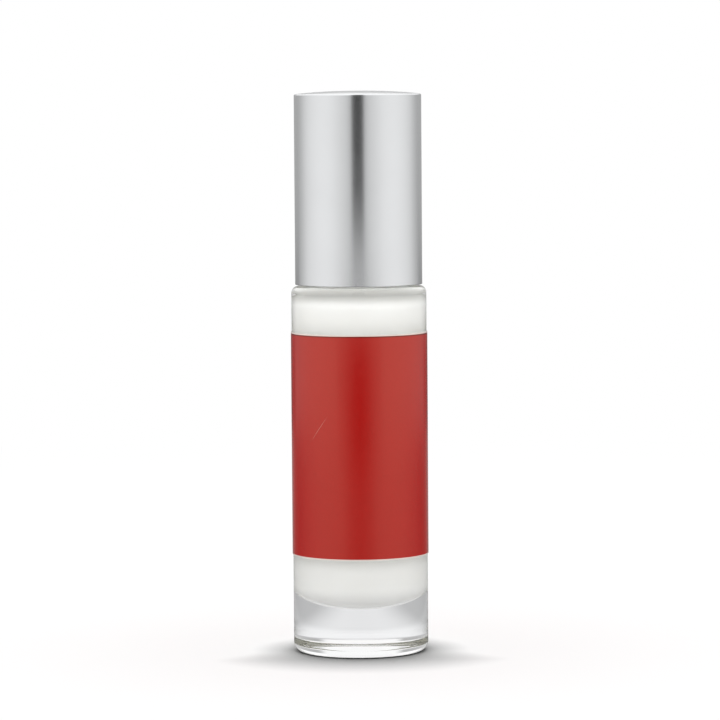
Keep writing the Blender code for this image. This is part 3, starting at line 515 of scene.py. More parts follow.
class Term:
    """The output of a node, which takes part in arithmetic."""

    def __init__(self, nodes, socket):
        self.nodes = nodes
        self.socket = socket

    def calc(self, operation, *others):
        """A Math node of this term and others."""
        return self.nodes.add("Math", dict(enumerate((self, *others))), operation=operation)

    def __add__(self, other):
        return self.calc("ADD", other)

    def __sub__(self, other):
        return self.calc("SUBTRACT", other)

    def __mul__(self, other):
        return self.calc("MULTIPLY", other)

    def step(self, low, high, start=0.0, end=1.0):
        """A smooth step from start to end as the term goes from low to high."""
        inputs = {0: self, 1: low, 2: high, 3: start, 4: end}
        return self.nodes.add("MapRange", inputs, interpolation_type="SMOOTHSTEP")

    def between(self, low, high, soft):
        """One inside a range and nothing outside it, with soft ends."""
        return self.step(low, low + soft) * self.step(high - soft, high, 1.0, 0.0)

    def flipped(self):
        """One less this term."""
        return self * -1.0 + 1.0


class Nodes:
    """Adds nodes to one tree by their short names."""

    def __init__(self, tree):
        self.tree = tree
        self.coordinates = None

    def put(self, socket, value):
        """Link a term to a socket, or set the socket's own value."""
        if isinstance(value, Term):
            self.tree.links.new(value.socket, socket)
        else:
            socket.default_value = value

    def add(self, kind, inputs=None, output=0, **settings):
        """A new node, with its inputs linked or set. Gives one of its outputs."""
        node = self.tree.nodes.new("ShaderNode" + kind)
        for name, value in settings.items():
            setattr(node, name, value)
        for name, value in (inputs or {}).items():
            self.put(node.inputs[name], value)
        return Term(self, node.outputs[output])

    def place(self):
        """The Object coordinates."""
        self.coordinates = self.coordinates or self.add("TexCoord", output="Object")
        return self.coordinates

    def ray(self, kind):
        """What the light path says of the ray."""
        return self.add("LightPath", output=kind)

    def rays_inside(self):
        """Whether a ray came through the glass, and whether the serum sent it."""
        return self.ray("Is Transmission Ray"), self.ray("Diffuse Depth").calc("MINIMUM", 1.0)

    def axes(self, vector):
        """The three parts of a vector."""
        split = self.add("SeparateXYZ", {0: vector})
        return [Term(self, socket) for socket in split.socket.node.outputs]

    def azimuth(self, x, y):
        """Angle in degrees from the front, to either side."""
        return x.calc("ARCTAN2", y * -1.0).calc("ABSOLUTE") * DEGREES

    def noise(self, scale, detail=2.0, stretch=(1.0, 1.0, 1.0)):
        """Noise over the Object coordinates, from nothing to one, with its features a metre / scale apart."""
        vector = self.add("Mapping", {"Vector": self.place(), "Scale": stretch})
        return self.add("TexNoise", {"Vector": vector, "Scale": scale, "Detail": detail})

    def mix(self, share, first, second):
        """A colour between two colours, each a term or three numbers."""
        ends = [item if isinstance(item, Term) else (*item, 1.0) for item in (first, second)]
        return self.add("Mix", {0: share, 6: ends[0], 7: ends[1]}, output=2, data_type="RGBA")

    def shade(self, share, tint, depth):
        """A tint that is deeper, by a factor, where the share is small."""
        return self.mix(share, tuple(part * depth for part in tint), tuple(tint))

    def by_angle(self, azimuth, points):
        """A smooth curve through points, each an angle in degrees and a value."""
        result = self.add("FloatCurve", {"Value": azimuth * (1 / 180)})
        mapping = result.socket.node.mapping
        places = [(angle / 180, value) for angle, value in points]
        ends = mapping.curves[0].points
        ends[0].location, ends[1].location = places[0], places[-1]
        for place in places[1:-1]:
            ends.new(*place)
        mapping.update()
        return result

    def bump(self, height, distance, below=None):
        """A normal from a height of nothing to one, which stands for a distance in metres."""
        inputs = {"Height": height, "Distance": distance, "Strength": 1.0}
        if below:
            inputs["Normal"] = below
        return self.add("Bump", inputs)

    def glow(self, strength, tint=(1.0, 1.0, 1.0), kind="Emission"):
        """Light of a strength and a tint."""
        return self.add(kind, {"Color": (*tint, 1.0), "Strength": strength})

    def either(self, share, first, second):
        """A shader between two shaders."""
        return self.add("MixShader", {0: share, 1: first, 2: second})


def light_tree(owner, kind):
    """The emptied tree of a world or a material, and the socket that its light goes to."""
    owner.use_nodes = True
    owner.node_tree.nodes.clear()
    out = owner.node_tree.nodes.new("ShaderNodeOutput" + kind)
    return Nodes(owner.node_tree), out.inputs["Surface"]


def finish(name, **values):
    """A new material: its Nodes and its shader, with the shader's own values set."""
    material = bpy.data.materials.new(name + FINISH_ENDING)
    material.use_nodes = True
    shader = material.node_tree.nodes["Principled BSDF"].inputs
    for title, value in values.items():
        socket = shader[title.replace("_", " ").title().replace("Ior", "IOR")]
        socket.default_value = (*value, 1.0) if socket.type == "RGBA" else value
    return material, Nodes(material.node_tree), shader


def made(maker, scene):
    """A finish by the name of its maker, made once."""
    return bpy.data.materials.get(maker.__name__ + FINISH_ENDING) or maker(scene)


# Finishes. A step of noise goes over its middle range, and bumps are depths in metres.

MIDDLE = (0.3, 0.7)
CELL_WALLS = (0.1, 0.6)
SCRATCH_EDGE = (0.2, 0.5)
SCRATCH_FRAY = (0.35, 0.6, 0.35, 1.0)
# Share of the scratch's paler colour, and of the painted shadow line under the label's top edge
SCRATCH_AND_SHADE_COVER = 0.8
# Share of the pale core at the film's cut edges, which also serves as a painted highlight
CORE_AND_HIGHLIGHT_COVER = 0.85


def clear_glass(scene):
    """Moulded glass: clear, with the faint waviness of its mould."""
    material, nodes, shader = finish(
        "clear_glass", base_color=(1.0, 1.0, 1.0), roughness=0.0, ior=1.5, transmission_weight=1.0
    )
    wave = nodes.noise(260.0, detail=1.0, stretch=(1.0, 1.0, 0.45))
    nodes.put(shader["Normal"], nodes.bump(wave, 0.00002))
    return material


def milky_serum(scene):
    """A milky liquid: nearly white, softly see-through at its skin."""
    material, nodes, shader = finish(
        "milky_serum",
        roughness=0.06,
        ior=1.34,
        subsurface_weight=0.15,
        subsurface_radius=(1.0, 0.95, 0.9),
        subsurface_scale=0.001,
    )
    cloud = nodes.noise(220.0, detail=3.0)
    nodes.put(shader["Base Color"], nodes.shade(cloud.step(*MIDDLE), scene.finishes.serum, 0.985))
    return material


def film_scratch(nodes, sizes, around, z):
    """Where the label has its hairline scratch: one on it and nothing beside it, frayed along it."""
    radius = extent("label").radius
    start = sizes.scratch_start * radius
    run = Vector((sizes.scratch_end * radius - start, sizes.scratch_top - sizes.scratch_foot))
    way = run.normalized()
    across, up = around - start, z - sizes.scratch_foot
    along = across * way.x + up * way.y
    aside = (up * way.x - across * way.y).calc("ABSOLUTE")
    line = aside.step(*(share * sizes.scratch_width for share in SCRATCH_EDGE), 1.0, 0.0)
    fray = nodes.noise(1500.0).step(*SCRATCH_FRAY)
    return line * along.between(0.0, run.length, run.length / 4) * fray


def red_film(scene):
    """Printed red film: a fine mottle, a satin gloss, pale cut edges with a painted highlight, a painted
    shadow line under its top edge, a white back and a hairline scratch.
    """
    look, sizes = scene.finishes, scene.label_sizes
    material, nodes, shader = finish("red_film", metallic=0.1, ior=1.75, specular_tint=(1.0, 0.97, 0.75))
    x, y, z = nodes.axes(nodes.place())
    radius, low, high = extent("label")
    scratch = film_scratch(nodes, sizes, x.calc("ARCTAN2", y * -1.0) * radius, z)
    mottle, cloud = nodes.noise(2600.0, detail=3.0), nodes.noise(140.0)
    red = nodes.shade(mottle.step(*MIDDLE) * 0.6 + cloud.step(*MIDDLE) * 0.4, look.film, 0.94)
    red = nodes.mix(scratch * SCRATCH_AND_SHADE_COVER, red, tuple(look.scratch))
    cut_line = sizes.cut_line
    # Painted shadow: a darker red line just under the film's top edge, below its pale cut edge.
    lip = z.between(high - 3 * cut_line, high, cut_line)
    red = nodes.mix(lip * SCRATCH_AND_SHADE_COVER, red, tuple(share / 3 for share in look.film))
    # Pale cut edges at top and bottom: the film's core colour, brightened as a painted highlight of the lit
    # edge.
    edge = z.between(low + cut_line, high - cut_line, cut_line / 3).flipped()
    pale = nodes.mix(edge * CORE_AND_HIGHLIGHT_COVER, red, tuple(look.cut_edge_and_highlight))
    back = (x * x + y * y).calc("SQRT").calc("LESS_THAN", sizes.inner + sizes.edge)
    nodes.put(shader["Base Color"], nodes.mix(back, pale, tuple(look.film_back)))
    grain = nodes.noise(900.0)
    nodes.put(shader["Roughness"], grain * 0.08 + (look.film_roughness - 0.04) + scratch * 0.2)
    ripple = nodes.noise(70.0, detail=1.0, stretch=(1.0, 1.0, 0.3))
    nodes.put(shader["Normal"], nodes.bump(grain, 0.000002, nodes.bump(ripple, 0.00003)))
    return material


def satin_aluminium(scene):
    """Anodised aluminium: fine etched grain and faint drawing lines along the wall."""
    look = scene.finishes
    material, nodes, shader = finish("satin_aluminium", base_color=look.aluminium, metallic=1.0)
    grain, handled = nodes.noise(5200.0), nodes.noise(90.0, detail=3.0)
    drawn = nodes.noise(900.0, detail=3.0, stretch=(1.0, 1.0, 0.02))
    rough = grain * 0.05 + drawn * 0.04 + handled * 0.03 + (look.aluminium_roughness - 0.06)
    nodes.put(shader["Roughness"], rough)
    nodes.put(shader["Base Color"], nodes.shade(handled.step(*MIDDLE), look.aluminium, 0.975))
    nodes.put(shader["Normal"], nodes.bump(drawn, 0.0000012, nodes.bump(grain, 0.0000008)))
    return material


def natural_plastic(scene):
    """Unpigmented plastic: cloudy, with a fine sparked skin."""
    material, nodes, shader = finish(
        "natural_plastic",
        roughness=0.38,
        ior=1.5,
        subsurface_weight=0.35,
        subsurface_radius=(1.0, 1.0, 0.95),
        subsurface_scale=0.0015,
    )
    cloud = nodes.noise(300.0)
    nodes.put(shader["Base Color"], nodes.shade(cloud.step(*MIDDLE), scene.finishes.natural, 0.95))
    nodes.put(shader["Normal"], nodes.bump(nodes.noise(3500.0), 0.000004))
    return material


def white_plastic(scene):
    """White moulded plastic: light gloss over a fine orange peel."""
    material, nodes, shader = finish("white_plastic", ior=1.5, subsurface_weight=0.1, subsurface_scale=0.0006)
    cloud = nodes.noise(200.0)
    nodes.put(shader["Base Color"], nodes.shade(cloud.step(*MIDDLE), scene.finishes.white, 0.97))
    nodes.put(shader["Roughness"], nodes.noise(700.0) * 0.12 + 0.22)
    nodes.put(shader["Normal"], nodes.bump(nodes.noise(1200.0), 0.000004))
    return material


def soft_seal(scene):
    """Foamed seal: dull, with small cells."""
    material, nodes, shader = finish("soft_seal", roughness=0.75, ior=1.45)
    cells = nodes.add("TexVoronoi", {"Vector": nodes.place(), "Scale": 6500.0})
    nodes.put(shader["Base Color"], nodes.shade(cells.step(*CELL_WALLS), scene.finishes.seal, 0.85))
    nodes.put(shader["Normal"], nodes.bump(cells, 0.00002))
    return material


def stainless_steel(scene):
    """Bright steel with faint drawing marks."""
    material, nodes, shader = finish("stainless_steel", metallic=1.0)
    marks = nodes.noise(4000.0, detail=3.0)
    nodes.put(shader["Base Color"], nodes.shade(marks.step(*MIDDLE), scene.finishes.steel, 0.9))
    nodes.put(shader["Roughness"], marks * 0.15 + 0.12)
    nodes.put(shader["Normal"], nodes.bump(marks, 0.000001))
    return material


# Bottle and label


def glass_bottle(scene):
    """Thick glass with a bowl-shaped inside, a push-up under its base and a thread on its neck."""
    sizes = scene.glass_sizes
    body, _, height = extent("bottle")
    mouth, spring = sizes.hollow - sizes.bore - sizes.bore_fillet, sizes.inner_top - sizes.mouth_rise
    ring = body - sizes.heel - sizes.foot_ring
    outline = [
        Sweep(0.0, sizes.base + sizes.bowl, sizes.hollow, sizes.bowl, -90, 0),
        Sweep(sizes.hollow - mouth, spring, mouth, sizes.mouth_rise, 0, 90),
        (sizes.bore, sizes.inner_top, sizes.bore_fillet), (sizes.bore, height),
        (sizes.neck, height), (sizes.neck, sizes.shoulder, sizes.neck_root),
        (body, sizes.shoulder, sizes.shoulder_edge), (body, 0.0, sizes.heel), (ring, 0.0),
        low_dome(ring - sizes.lip / 2, sizes.lip / 4, sizes.punt - sizes.lip / 4, outward=False),
    ]
    shape = turned(outline, sizes.lip, BODY_STEPS)
    raise_thread(shape, sizes.neck, sizes.thread_rise, sizes, rings=9)
    return shape


def serum_filling(scene):
    """The liquid, which laps a little into the glass and leaves room for the pump and its tube."""
    sizes, pump = scene.glass_sizes, scene.pump_sizes
    room, lap = sizes.serum_room, sizes.serum_lap
    mouth, spring = sizes.hollow - sizes.bore - sizes.bore_fillet, sizes.inner_top - sizes.mouth_rise
    surface, neck = sizes.inner_top + sizes.serum_rise, sizes.bore + lap
    tube, tail, housing = extent("dip_tube").radius + room, pump.tail + room, pump.housing + room
    tube_foot, tail_foot = extent("dip_tube").foot - room, extent("pump_housing").foot - room
    narrowing = pump.housing - pump.housing_bore + pump.housing - pump.tail
    waist = extent("spring_seat").foot - narrowing - room
    outline = [
        (0.0, tube_foot), (tube, tube_foot), (tube, tail_foot), (tail, tail_foot), (tail, waist),
        (housing, waist + housing - tail), (housing, surface), (neck, surface),
        (neck, sizes.inner_top + lap, sizes.bore_fillet),
        Sweep(sizes.hollow - mouth, spring, mouth + lap, sizes.mouth_rise + lap, 90, 0),
        Sweep(0.0, sizes.base + sizes.bowl, sizes.hollow + lap, sizes.bowl + lap, 0, -90),
    ]
    return turned(outline, steps=BODY_STEPS)


def wrap_label(scene):
    """The film round the body, with its seam at the back."""
    sizes = scene.label_sizes
    outer, low, high = extent("label")
    shape = wire([(sizes.inner, low), (outer, low), (outer, high), (sizes.inner, high)], sizes.edge)
    bmesh.ops.contextual_create(shape, geom=whole(shape))
    seam = sizes.seam / outer
    moved(shape, Matrix.Rotation(QUARTER + seam / 2, 4, "Z"))
    spin(shape, whole(shape), TURN - seam, BODY_STEPS)
    bmesh.ops.recalc_face_normals(shape, faces=shape.faces[:])
    return shape


# Cap and closure


def cap_shell(scene):
    """The cap's aluminium shell, with a low dome."""
    sizes = scene.cap_sizes
    radius, low, high = extent("overcap_shell")
    wall, edge, shoulder = sizes.shell_wall, sizes.shell_edge, high - sizes.dome
    outline = [
        low_dome(radius - edge, shoulder, sizes.dome), (radius, shoulder - edge / 5, edge),
        (radius, low), (radius - wall, low), (radius - wall, shoulder - wall, edge / 2),
        (0.0, high - wall),
    ]
    return turned(outline, sizes.rim, BODY_STEPS)


def cap_liner(scene):
    """The cap's plastic liner, with the ribs that grip the collar."""
    sizes = scene.cap_sizes
    radius, low, high = extent("overcap_liner")
    bore, ceiling = sizes.liner_bore, high - sizes.liner_roof
    outline = [
        (0.0, high), (radius, high, sizes.liner_edge), (radius, low), (bore, low, sizes.fillet),
        (bore, ceiling, sizes.fillet), (0.0, ceiling),
    ]
    shape = turned(outline, sizes.rim, BODY_STEPS)
    start = low + sizes.rib_inset
    end = start + sizes.rib_length
    slice_wall(shape, bore, (start, end))
    half, pitch = sizes.rib_width / 2 / bore, TURN / sizes.ribs
    ribs = []
    for face in shape.faces:
        middle = face.calc_center_median()
        turn = math.atan2(middle.y, middle.x) % pitch
        inside = abs(middle.xy.length - bore) < HOLD_DISTANCE and start < middle.z < end
        if inside and min(turn, pitch - turn) < half:
            ribs.append(face)
    bmesh.ops.inset_region(shape, faces=ribs, thickness=sizes.rim, depth=sizes.rib_rise)
    return shape


def screw_closure_ring(scene):
    """The screw closure, with the thread inside it."""
    sizes = scene.cap_sizes
    radius, low, high = extent("closure")
    bore, hole, web = sizes.closure_bore, sizes.closure_hole, high - sizes.closure_web
    outline = [
        (hole, high), (radius, high, sizes.closure_edge), (radius, low), (bore, low, sizes.fillet),
        (bore, web, sizes.fillet), (hole, web),
    ]
    shape = turned(outline, sizes.rim)
    raise_thread(shape, bore, -sizes.closure_thread, scene.glass_sizes, rings=6, shift=0.5)
    return shape


def drawn_collar(scene):
    """The aluminium collar over the closure, drawn up into the button's chimney."""
    sizes = scene.cap_sizes
    radius, low, high = extent("closure_collar")
    wall, shoulder, chimney = sizes.collar_wall, sizes.chimney_foot, sizes.chimney
    outline = [
        (chimney, high), (chimney, shoulder, sizes.chimney_root),
        (radius, shoulder, sizes.collar_edge), (radius, low), (radius - wall, low),
        (radius - wall, shoulder - wall, sizes.collar_edge - wall),
        (chimney - wall, shoulder - wall, sizes.chimney_mouth), (chimney - wall, high),
    ]
    return turned(outline, sizes.rim, BODY_STEPS)


# Button


def finger_button(scene):
    """The button: a finger dish on top, a boss on the stem and the channel to its nozzle."""
    sizes = scene.pump_sizes
    soft, seat, roof = sizes.soft, sizes.nozzle_seat, sizes.button_hollow
    radius, low, high = extent("actuator")
    skirt, stem = radius - sizes.button_wall, sizes.stem + sizes.fit
    grip = sizes.button_foot + sizes.stem_grip
    outline = [
        low_dome(sizes.dish, high - soft, -sizes.dish_depth),
        (sizes.dish + 2 * soft, high, 2 * soft), (sizes.button_rim, high, 3 * soft),
        (sizes.button_rim, sizes.button_ledge), (radius, sizes.button_ledge, 1.5 * soft),
        (radius, low), (skirt, low), (skirt, roof, 3 * soft), (sizes.boss, roof, 2 * soft),
        (sizes.boss, sizes.button_foot), (stem, sizes.button_foot), (stem, grip, 0.0),
        (sizes.stem_bore, grip, 0.0), (sizes.stem_bore, sizes.nozzle_axis, 0.0),
        (0.0, sizes.nozzle_axis),
    ]
    pocket, outside = extent("nozzle_insert").radius + sizes.fit, radius + CUT_OVERRUN
    drill = [
        (0.0, 0.0), (sizes.channel, 0.0), (sizes.channel, seat), (pocket, seat), (pocket, outside),
        (0.0, outside),
    ]
    tool = forward(turned(drill, steps=DRILL_STEPS), 0.0, sizes.nozzle_axis)
    return cut(turned(outline, soft), tool)


def button_sleeve(scene):
    """The button's aluminium sleeve, with the hole for the nozzle."""
    sizes = scene.pump_sizes
    radius, low, high = extent("actuator_sleeve")
    wall, mouth = sizes.sleeve_wall, sizes.button_rim + sizes.fit
    outline = [
        (mouth, high), (radius, high, sizes.sleeve_edge), (radius, low), (radius - wall, low),
        (radius - wall, high - wall, sizes.sleeve_edge - wall), (mouth, high - wall),
    ]
    hole = peg(extent("nozzle_insert").radius + sizes.nozzle_gap, 0.0, radius, DRILL_STEPS)
    tool = forward(hole, sizes.nozzle_seat, sizes.nozzle_axis)
    return cut(turned(outline, sizes.soft, BODY_STEPS), tool)


def outlet_nozzle(scene):
    """The nozzle, with its flared mouth."""
    sizes = scene.pump_sizes
    radius = extent("nozzle_insert").radius
    front, back = (corner.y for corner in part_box("nozzle_insert"))
    span = back - front
    outline = [
        (sizes.nozzle_bore, 0.0), (radius, 0.0), (radius, span, 2 * sizes.soft),
        (radius - sizes.nozzle_rim, span), (sizes.nozzle_bore, span - sizes.nozzle_cone),
    ]
    return forward(turned(outline, sizes.soft, DRILL_STEPS), -back, sizes.nozzle_axis)


# Pump


def mouth_gasket(scene):
    """The soft ring between the neck's mouth and the housing's flange."""
    sizes = scene.pump_sizes
    radius, low, high = extent("neck_gasket")
    bore, edge = sizes.housing + sizes.fit, 2 * sizes.soft
    return turned([(bore, high), (radius, high, edge), (radius, low, edge), (bore, low)], sizes.soft)


def pump_chamber(scene):
    """The pump's housing: flange, chamber, air vent, ball pocket and the dip tube's socket."""
    sizes = scene.pump_sizes
    soft, fit = sizes.soft, sizes.fit
    radius, low, high = extent("pump_housing")
    ball, tube = extent("inlet_ball"), extent("dip_tube")
    socket, socket_top = tube.radius + fit, tube.top + fit
    wall, flange = sizes.housing - sizes.housing_bore, high - sizes.flange
    floor = extent("spring_seat").foot - fit
    under = floor - wall
    apex = (ball.foot + ball.top) / 2 - (ball.radius + fit) * math.sqrt(2)
    outline = [
        (sizes.housing_bore, high), (radius, high), (radius, flange),
        (sizes.housing, flange, 2 * soft), (sizes.housing, under, 4 * soft),
        (sizes.tail, under - (sizes.housing - sizes.tail), 4 * soft), (sizes.tail, low),
        (socket, low, 3 * soft), (socket, socket_top, 0.0), (sizes.inlet, socket_top, 0.0),
        (sizes.inlet, apex + sizes.inlet, 0.0), (sizes.pocket, apex + sizes.pocket, 0.0),
        (sizes.pocket, floor), (sizes.housing_bore, floor),
    ]
    drill = peg(sizes.vent_radius, 0.0, 2 * wall, FINE_STEPS)
    return cut(turned(outline, soft), forward(drill, sizes.housing - 1.5 * wall, sizes.vent_level))


def feed_tube(scene):
    """The dip tube, cut slanting at its foot."""
    sizes = scene.pump_sizes
    radius, low, high = extent("dip_tube")
    bore = sizes.tube_bore
    shape = turned([(bore, high), (radius, high), (radius, low), (bore, low)], sizes.soft, DRILL_STEPS)
    for vert in shape.verts:
        if vert.co.z < low + sizes.soft + 2 * HOLD_DISTANCE:
            vert.co.z += sizes.tube_slant * (vert.co.y / radius + 1) / 2
    return shape


def spring_cup(scene):
    """The cup under the spring, with the holes that the serum rises through."""
    sizes = scene.pump_sizes
    radius, low, high = extent("spring_seat")
    rim, plate = radius - sizes.cup_rim, low + sizes.cup_plate
    outline = [(0.0, plate), (rim, plate), (rim, high), (radius, high), (radius, low), (0.0, low)]
    holes = []
    for index in range(sizes.cup_holes):
        hole = peg(sizes.cup_hole, low - CUT_OVERRUN, plate + CUT_OVERRUN, FINE_STEPS)
        turn = Matrix.Rotation(TURN * index / sizes.cup_holes, 4, "Z")
        holes.append(moved(hole, turn @ Matrix.Translation((0.0, sizes.cup_circle, 0.0))))
    return cut(turned(outline, sizes.soft), *holes)


def guide_plug(scene):
    """The plug that closes the chamber and centres the stem."""
    sizes = scene.pump_sizes
    soft, bore = sizes.soft, sizes.guide_bore
    radius, low, high = extent("stem_guide")
    under = extent("pump_housing").top + sizes.fit
    over = under + sizes.guide_flange
    chimney, plug = radius - sizes.guide_lip, sizes.housing_bore - sizes.fit
    outline = [
        (bore, high, 3 * soft), (chimney, high, 3 * soft), (chimney, over, 2 * soft),
        (radius, over), (radius, under), (plug, under), (plug, low, 3 * soft), (bore, low),
    ]
    return turned(outline, soft)


def coil_spring(scene):
    """The return spring: one unbroken wire, with its first and its last turn wound close."""
    sizes = scene.pump_sizes
    _, low, high = extent("return_spring")
    pitch = (high - low - sizes.wire - 2 * sizes.end_pitch) / (sizes.coils - 2)
    shape = bmesh.new()
    bmesh.ops.create_circle(shape, cap_ends=True, radius=sizes.wire / 2, segments=WIRE_SIDES)
    place = Matrix.Translation((sizes.coil, 0.0, low + sizes.wire / 2))
    moved(shape, place @ Matrix.Rotation(QUARTER, 4, "X"))
    end = whole(shape)
    for turns, rise in ((1, sizes.end_pitch), (sizes.coils - 2, pitch), (1, sizes.end_pitch)):
        end = spin(shape, end, turns * TURN, turns * PUMP_STEPS, dvec=(0.0, 0.0, rise / PUMP_STEPS))
    bmesh.ops.recalc_face_normals(shape, faces=shape.faces[:])
    return shape


# Valve


def valve_ball(scene):
    """The ball that shuts the inlet."""
    radius, low, high = extent("inlet_ball")
    return turned([Sweep(0.0, (low + high) / 2, radius, radius, -90, 90)])


def hollow_stem(scene):
    """The stem, with its bore and its stop flange."""
    sizes = scene.pump_sizes
    stop, low, high = extent("stem")
    bore, radius, over = sizes.stem_bore, sizes.stem, sizes.stop_level
    under = over - sizes.stop_thickness
    outline = [
        (bore, high), (radius, high, 2 * sizes.soft), (radius, over), (stop, over), (stop, under),
        (radius, under), (radius, low), (bore, low),
    ]
    return turned(outline, sizes.soft)


def rod_valve(scene):
    """The rod in the stem, with flats that the serum passes and the cone that shuts the piston."""
    sizes = scene.pump_sizes
    rod, pilot = sizes.rod, sizes.pilot
    head, low, high = extent("valve_rod")
    seat = extent("return_spring").top + sizes.fit
    rim = seat + sizes.rod_head
    outline = [
        (0.0, high), (rod, high), (rod, rim + head - rod), (head, rim), (head, seat), (pilot, seat),
        (pilot, low, 2 * sizes.soft), (0.0, low),
    ]
    shape = turned(outline, sizes.soft)
    flats = extent("stem").foot - sizes.rod_flat_lap
    slice_wall(shape, rod, [flats])
    for vert in shape.verts:
        if vert.co.z > flats + HOLD_DISTANCE / 10 and vert.co.xy.length < rod + HOLD_DISTANCE:
            vert.co.x = max(-sizes.rod_flat, min(sizes.rod_flat, vert.co.x))
    return shape


def wiping_piston(scene):
    """The soft piston: two wiping lips, a waist, and a conical seat under its channel."""
    sizes = scene.pump_sizes
    lip, low, high = extent("piston")
    channel, upper = sizes.rod + sizes.piston_channel, sizes.stem + sizes.play
    waist = lip - sizes.piston_waist
    seat, shelf, edge = sizes.piston_seat, low + sizes.piston_shelf, sizes.piston_lip
    slope = edge + sizes.piston_taper
    outline = [
        (upper, high), (lip, high), (lip, high - edge), (waist, high - slope, 3 * sizes.soft),
        (waist, low + slope, 3 * sizes.soft), (lip, low + edge), (lip, low), (channel + seat, low),
        (channel, low + seat), (channel, shelf), (upper, shelf),
    ]
    return turned(outline, sizes.soft)


# Operators


def add_piece(scene, maker, finish_maker, body, node):
    """Put what a maker shapes in the scene, as a piece of its name on a body, in place of its CAD node."""
    piece = loose_object(maker.__name__, maker(scene))
    piece.data.shade_smooth()
    piece.data.set_sharp_from_angle(angle=SHARP_ANGLE)
    piece.data.materials.append(made(finish_maker, scene))
    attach(piece, body)
    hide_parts(node)


class PieceMaker:
    """Makes an operator's pieces, each with its finish, its body and its CAD node."""

    bl_options = {"REGISTER", "UNDO"}
    pieces = ()

    def execute(self, context):
        for maker, finish_maker, body, node in self.pieces:
            add_piece(context.scene, maker, finish_maker, body, node)
        return {"FINISHED"}


class SERUM_OT_glass(PieceMaker, bpy.types.Operator):
    """Turn the glass bottle and raise the thread on its neck"""

    bl_idname = "serum_bottle.glass"
    bl_label = "Glass bottle"
    pieces = ((glass_bottle, clear_glass, "bottle_body", "bottle"),)


class SERUM_OT_filling(PieceMaker, bpy.types.Operator):
    """Turn the milky filling, with room for the pump and its tube"""

    bl_idname = "serum_bottle.filling"
    bl_label = "Serum"
    pieces = ((serum_filling, milky_serum, "bottle_body", "serum"),)


class SERUM_OT_label(PieceMaker, bpy.types.Operator):
    """Wrap the red film round the body, with its seam at the back"""

    bl_idname = "serum_bottle.label"
    bl_label = "Wrap label"
    pieces = ((wrap_label, red_film, "bottle_body", "label"),)


class SERUM_OT_cap(PieceMaker, bpy.types.Operator):
    """Draw the pull-off cap's aluminium shell and mould its ribbed liner"""

    bl_idname = "serum_bottle.cap"
    bl_label = "Pull-off cap"
    pieces = (
        (cap_shell, satin_aluminium, "overcap", "overcap_shell"),
        (cap_liner, natural_plastic, "overcap", "overcap_liner"),
    )


class SERUM_OT_closure(PieceMaker, bpy.types.Operator):
    """Mould the screw closure with its inner thread and draw the collar over it"""

    bl_idname = "serum_bottle.closure"
    bl_label = "Screw closure and collar"
    pieces = (
        (screw_closure_ring, white_plastic, "screw_closure", "closure"),
        (drawn_collar, satin_aluminium, "screw_closure", "closure_collar"),
    )


class SERUM_OT_button(PieceMaker, bpy.types.Operator):
    """Mould the finger button, its sleeve and its nozzle"""

    bl_idname = "serum_bottle.button"
    bl_label = "Finger button"
    pieces = (
        (finger_button, white_plastic, "button", "actuator"),
        (button_sleeve, satin_aluminium, "button", "actuator_sleeve"),
        (outlet_nozzle, white_plastic, "button", "nozzle_insert"),
    )


class SERUM_OT_pump(PieceMaker, bpy.types.Operator):
    """Mould the pump's housing, its gasket, dip tube, spring cup and stem guide"""

    bl_idname = "serum_bottle.pump"
    bl_label = "Pump housing"
    pieces = (
        (mouth_gasket, soft_seal, "pump", "neck_gasket"),
        (pump_chamber, natural_plastic, "pump", "pump_housing"),
        (feed_tube, natural_plastic, "pump", "dip_tube"),
        (spring_cup, natural_plastic, "pump", "spring_seat"),
        (guide_plug, white_plastic, "pump", "stem_guide"),
    )


class SERUM_OT_spring(PieceMaker, bpy.types.Operator):
    """Wind the return spring from one unbroken wire"""

    bl_idname = "serum_bottle.spring"
    bl_label = "Return spring"
    pieces = ((coil_spring, stainless_steel, "pump", "return_spring"),)

    def execute(self, context):
        super().execute(context)
        spring = bpy.data.objects[coil_spring.__name__]
        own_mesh(spring)
        return {"FINISHED"}


class SERUM_OT_valve(PieceMaker, bpy.types.Operator):
    """Turn the moving parts in the chamber: ball, stem, valve rod and piston"""

    bl_idname = "serum_bottle.valve"
    bl_label = "Stem and valve"
    pieces = (
        (valve_ball, stainless_steel, "check_ball", "inlet_ball"),
        (hollow_stem, white_plastic, "stem_and_rod", "stem"),
        (rod_valve, white_plastic, "stem_and_rod", "valve_rod"),
        (wiping_piston, natural_plastic, "wiper", "piston"),
    )


# Studio. A step is where a level begins and ends to change, and its values before and after.

# Angles in degrees from the front, and over the horizon
WALL_LIGHT = (
    *((0, 0.60), (10, 0.61), (16, 0.69), (27, 0.80), (38, 0.89), (50, 0.97)),
    *((70, 1.00), (89, 0.94), (105, 0.83), (125, 0.58), (135, 0.50), (180, 0.50)),
)
# Levels of the floor's painted reflection, by angle from the front
FLOOR_GLOSS = (
    *((0, 0.20), (15, 0.30), (35, 0.54), (66, 0.57), (85, 0.46)),
    *((103, 0.30), (129, 0.15), (150, 0.25), (180, 0.45)),
)
OVERHEAD_RISE = (12, 30)
BACK_RISE = (10, 16)
BACK_SIDES = (110, 130)
SHELF_SIDES = (130, 145)
SHELF_RISE = (-3.6, -2.6, 0.7, 0.0)
FILL_SIDES = (30, 120)
SHEET_SIDES = (150, 160)

# Distances in metres from the bottle's axis
FRONT = (-0.014, -0.002, 1.0, 0.0)
FAR_SIDE = (0.026, 0.036, 0.94, 0.81)
BESIDE = (0.004, 0.026, 1.0, 0.62)
CONTACT_SIDES = (0.006, 0.011, 0.0, 0.8)
UNDER_GLASS = (0.016, 0.05, 0.5, 1.0)
CAP_FLAG = (0.027, 0.070, 0.300)
LABEL_FLAG = (0.110, 0.022, 0.047)

COOL_WHITE = (0.985, 0.99, 1.0)
# Powers of the contact shadow painted into the floor, at the sides and in front
SIDE_POWER = 1.4
FRONT_POWER = 2.5


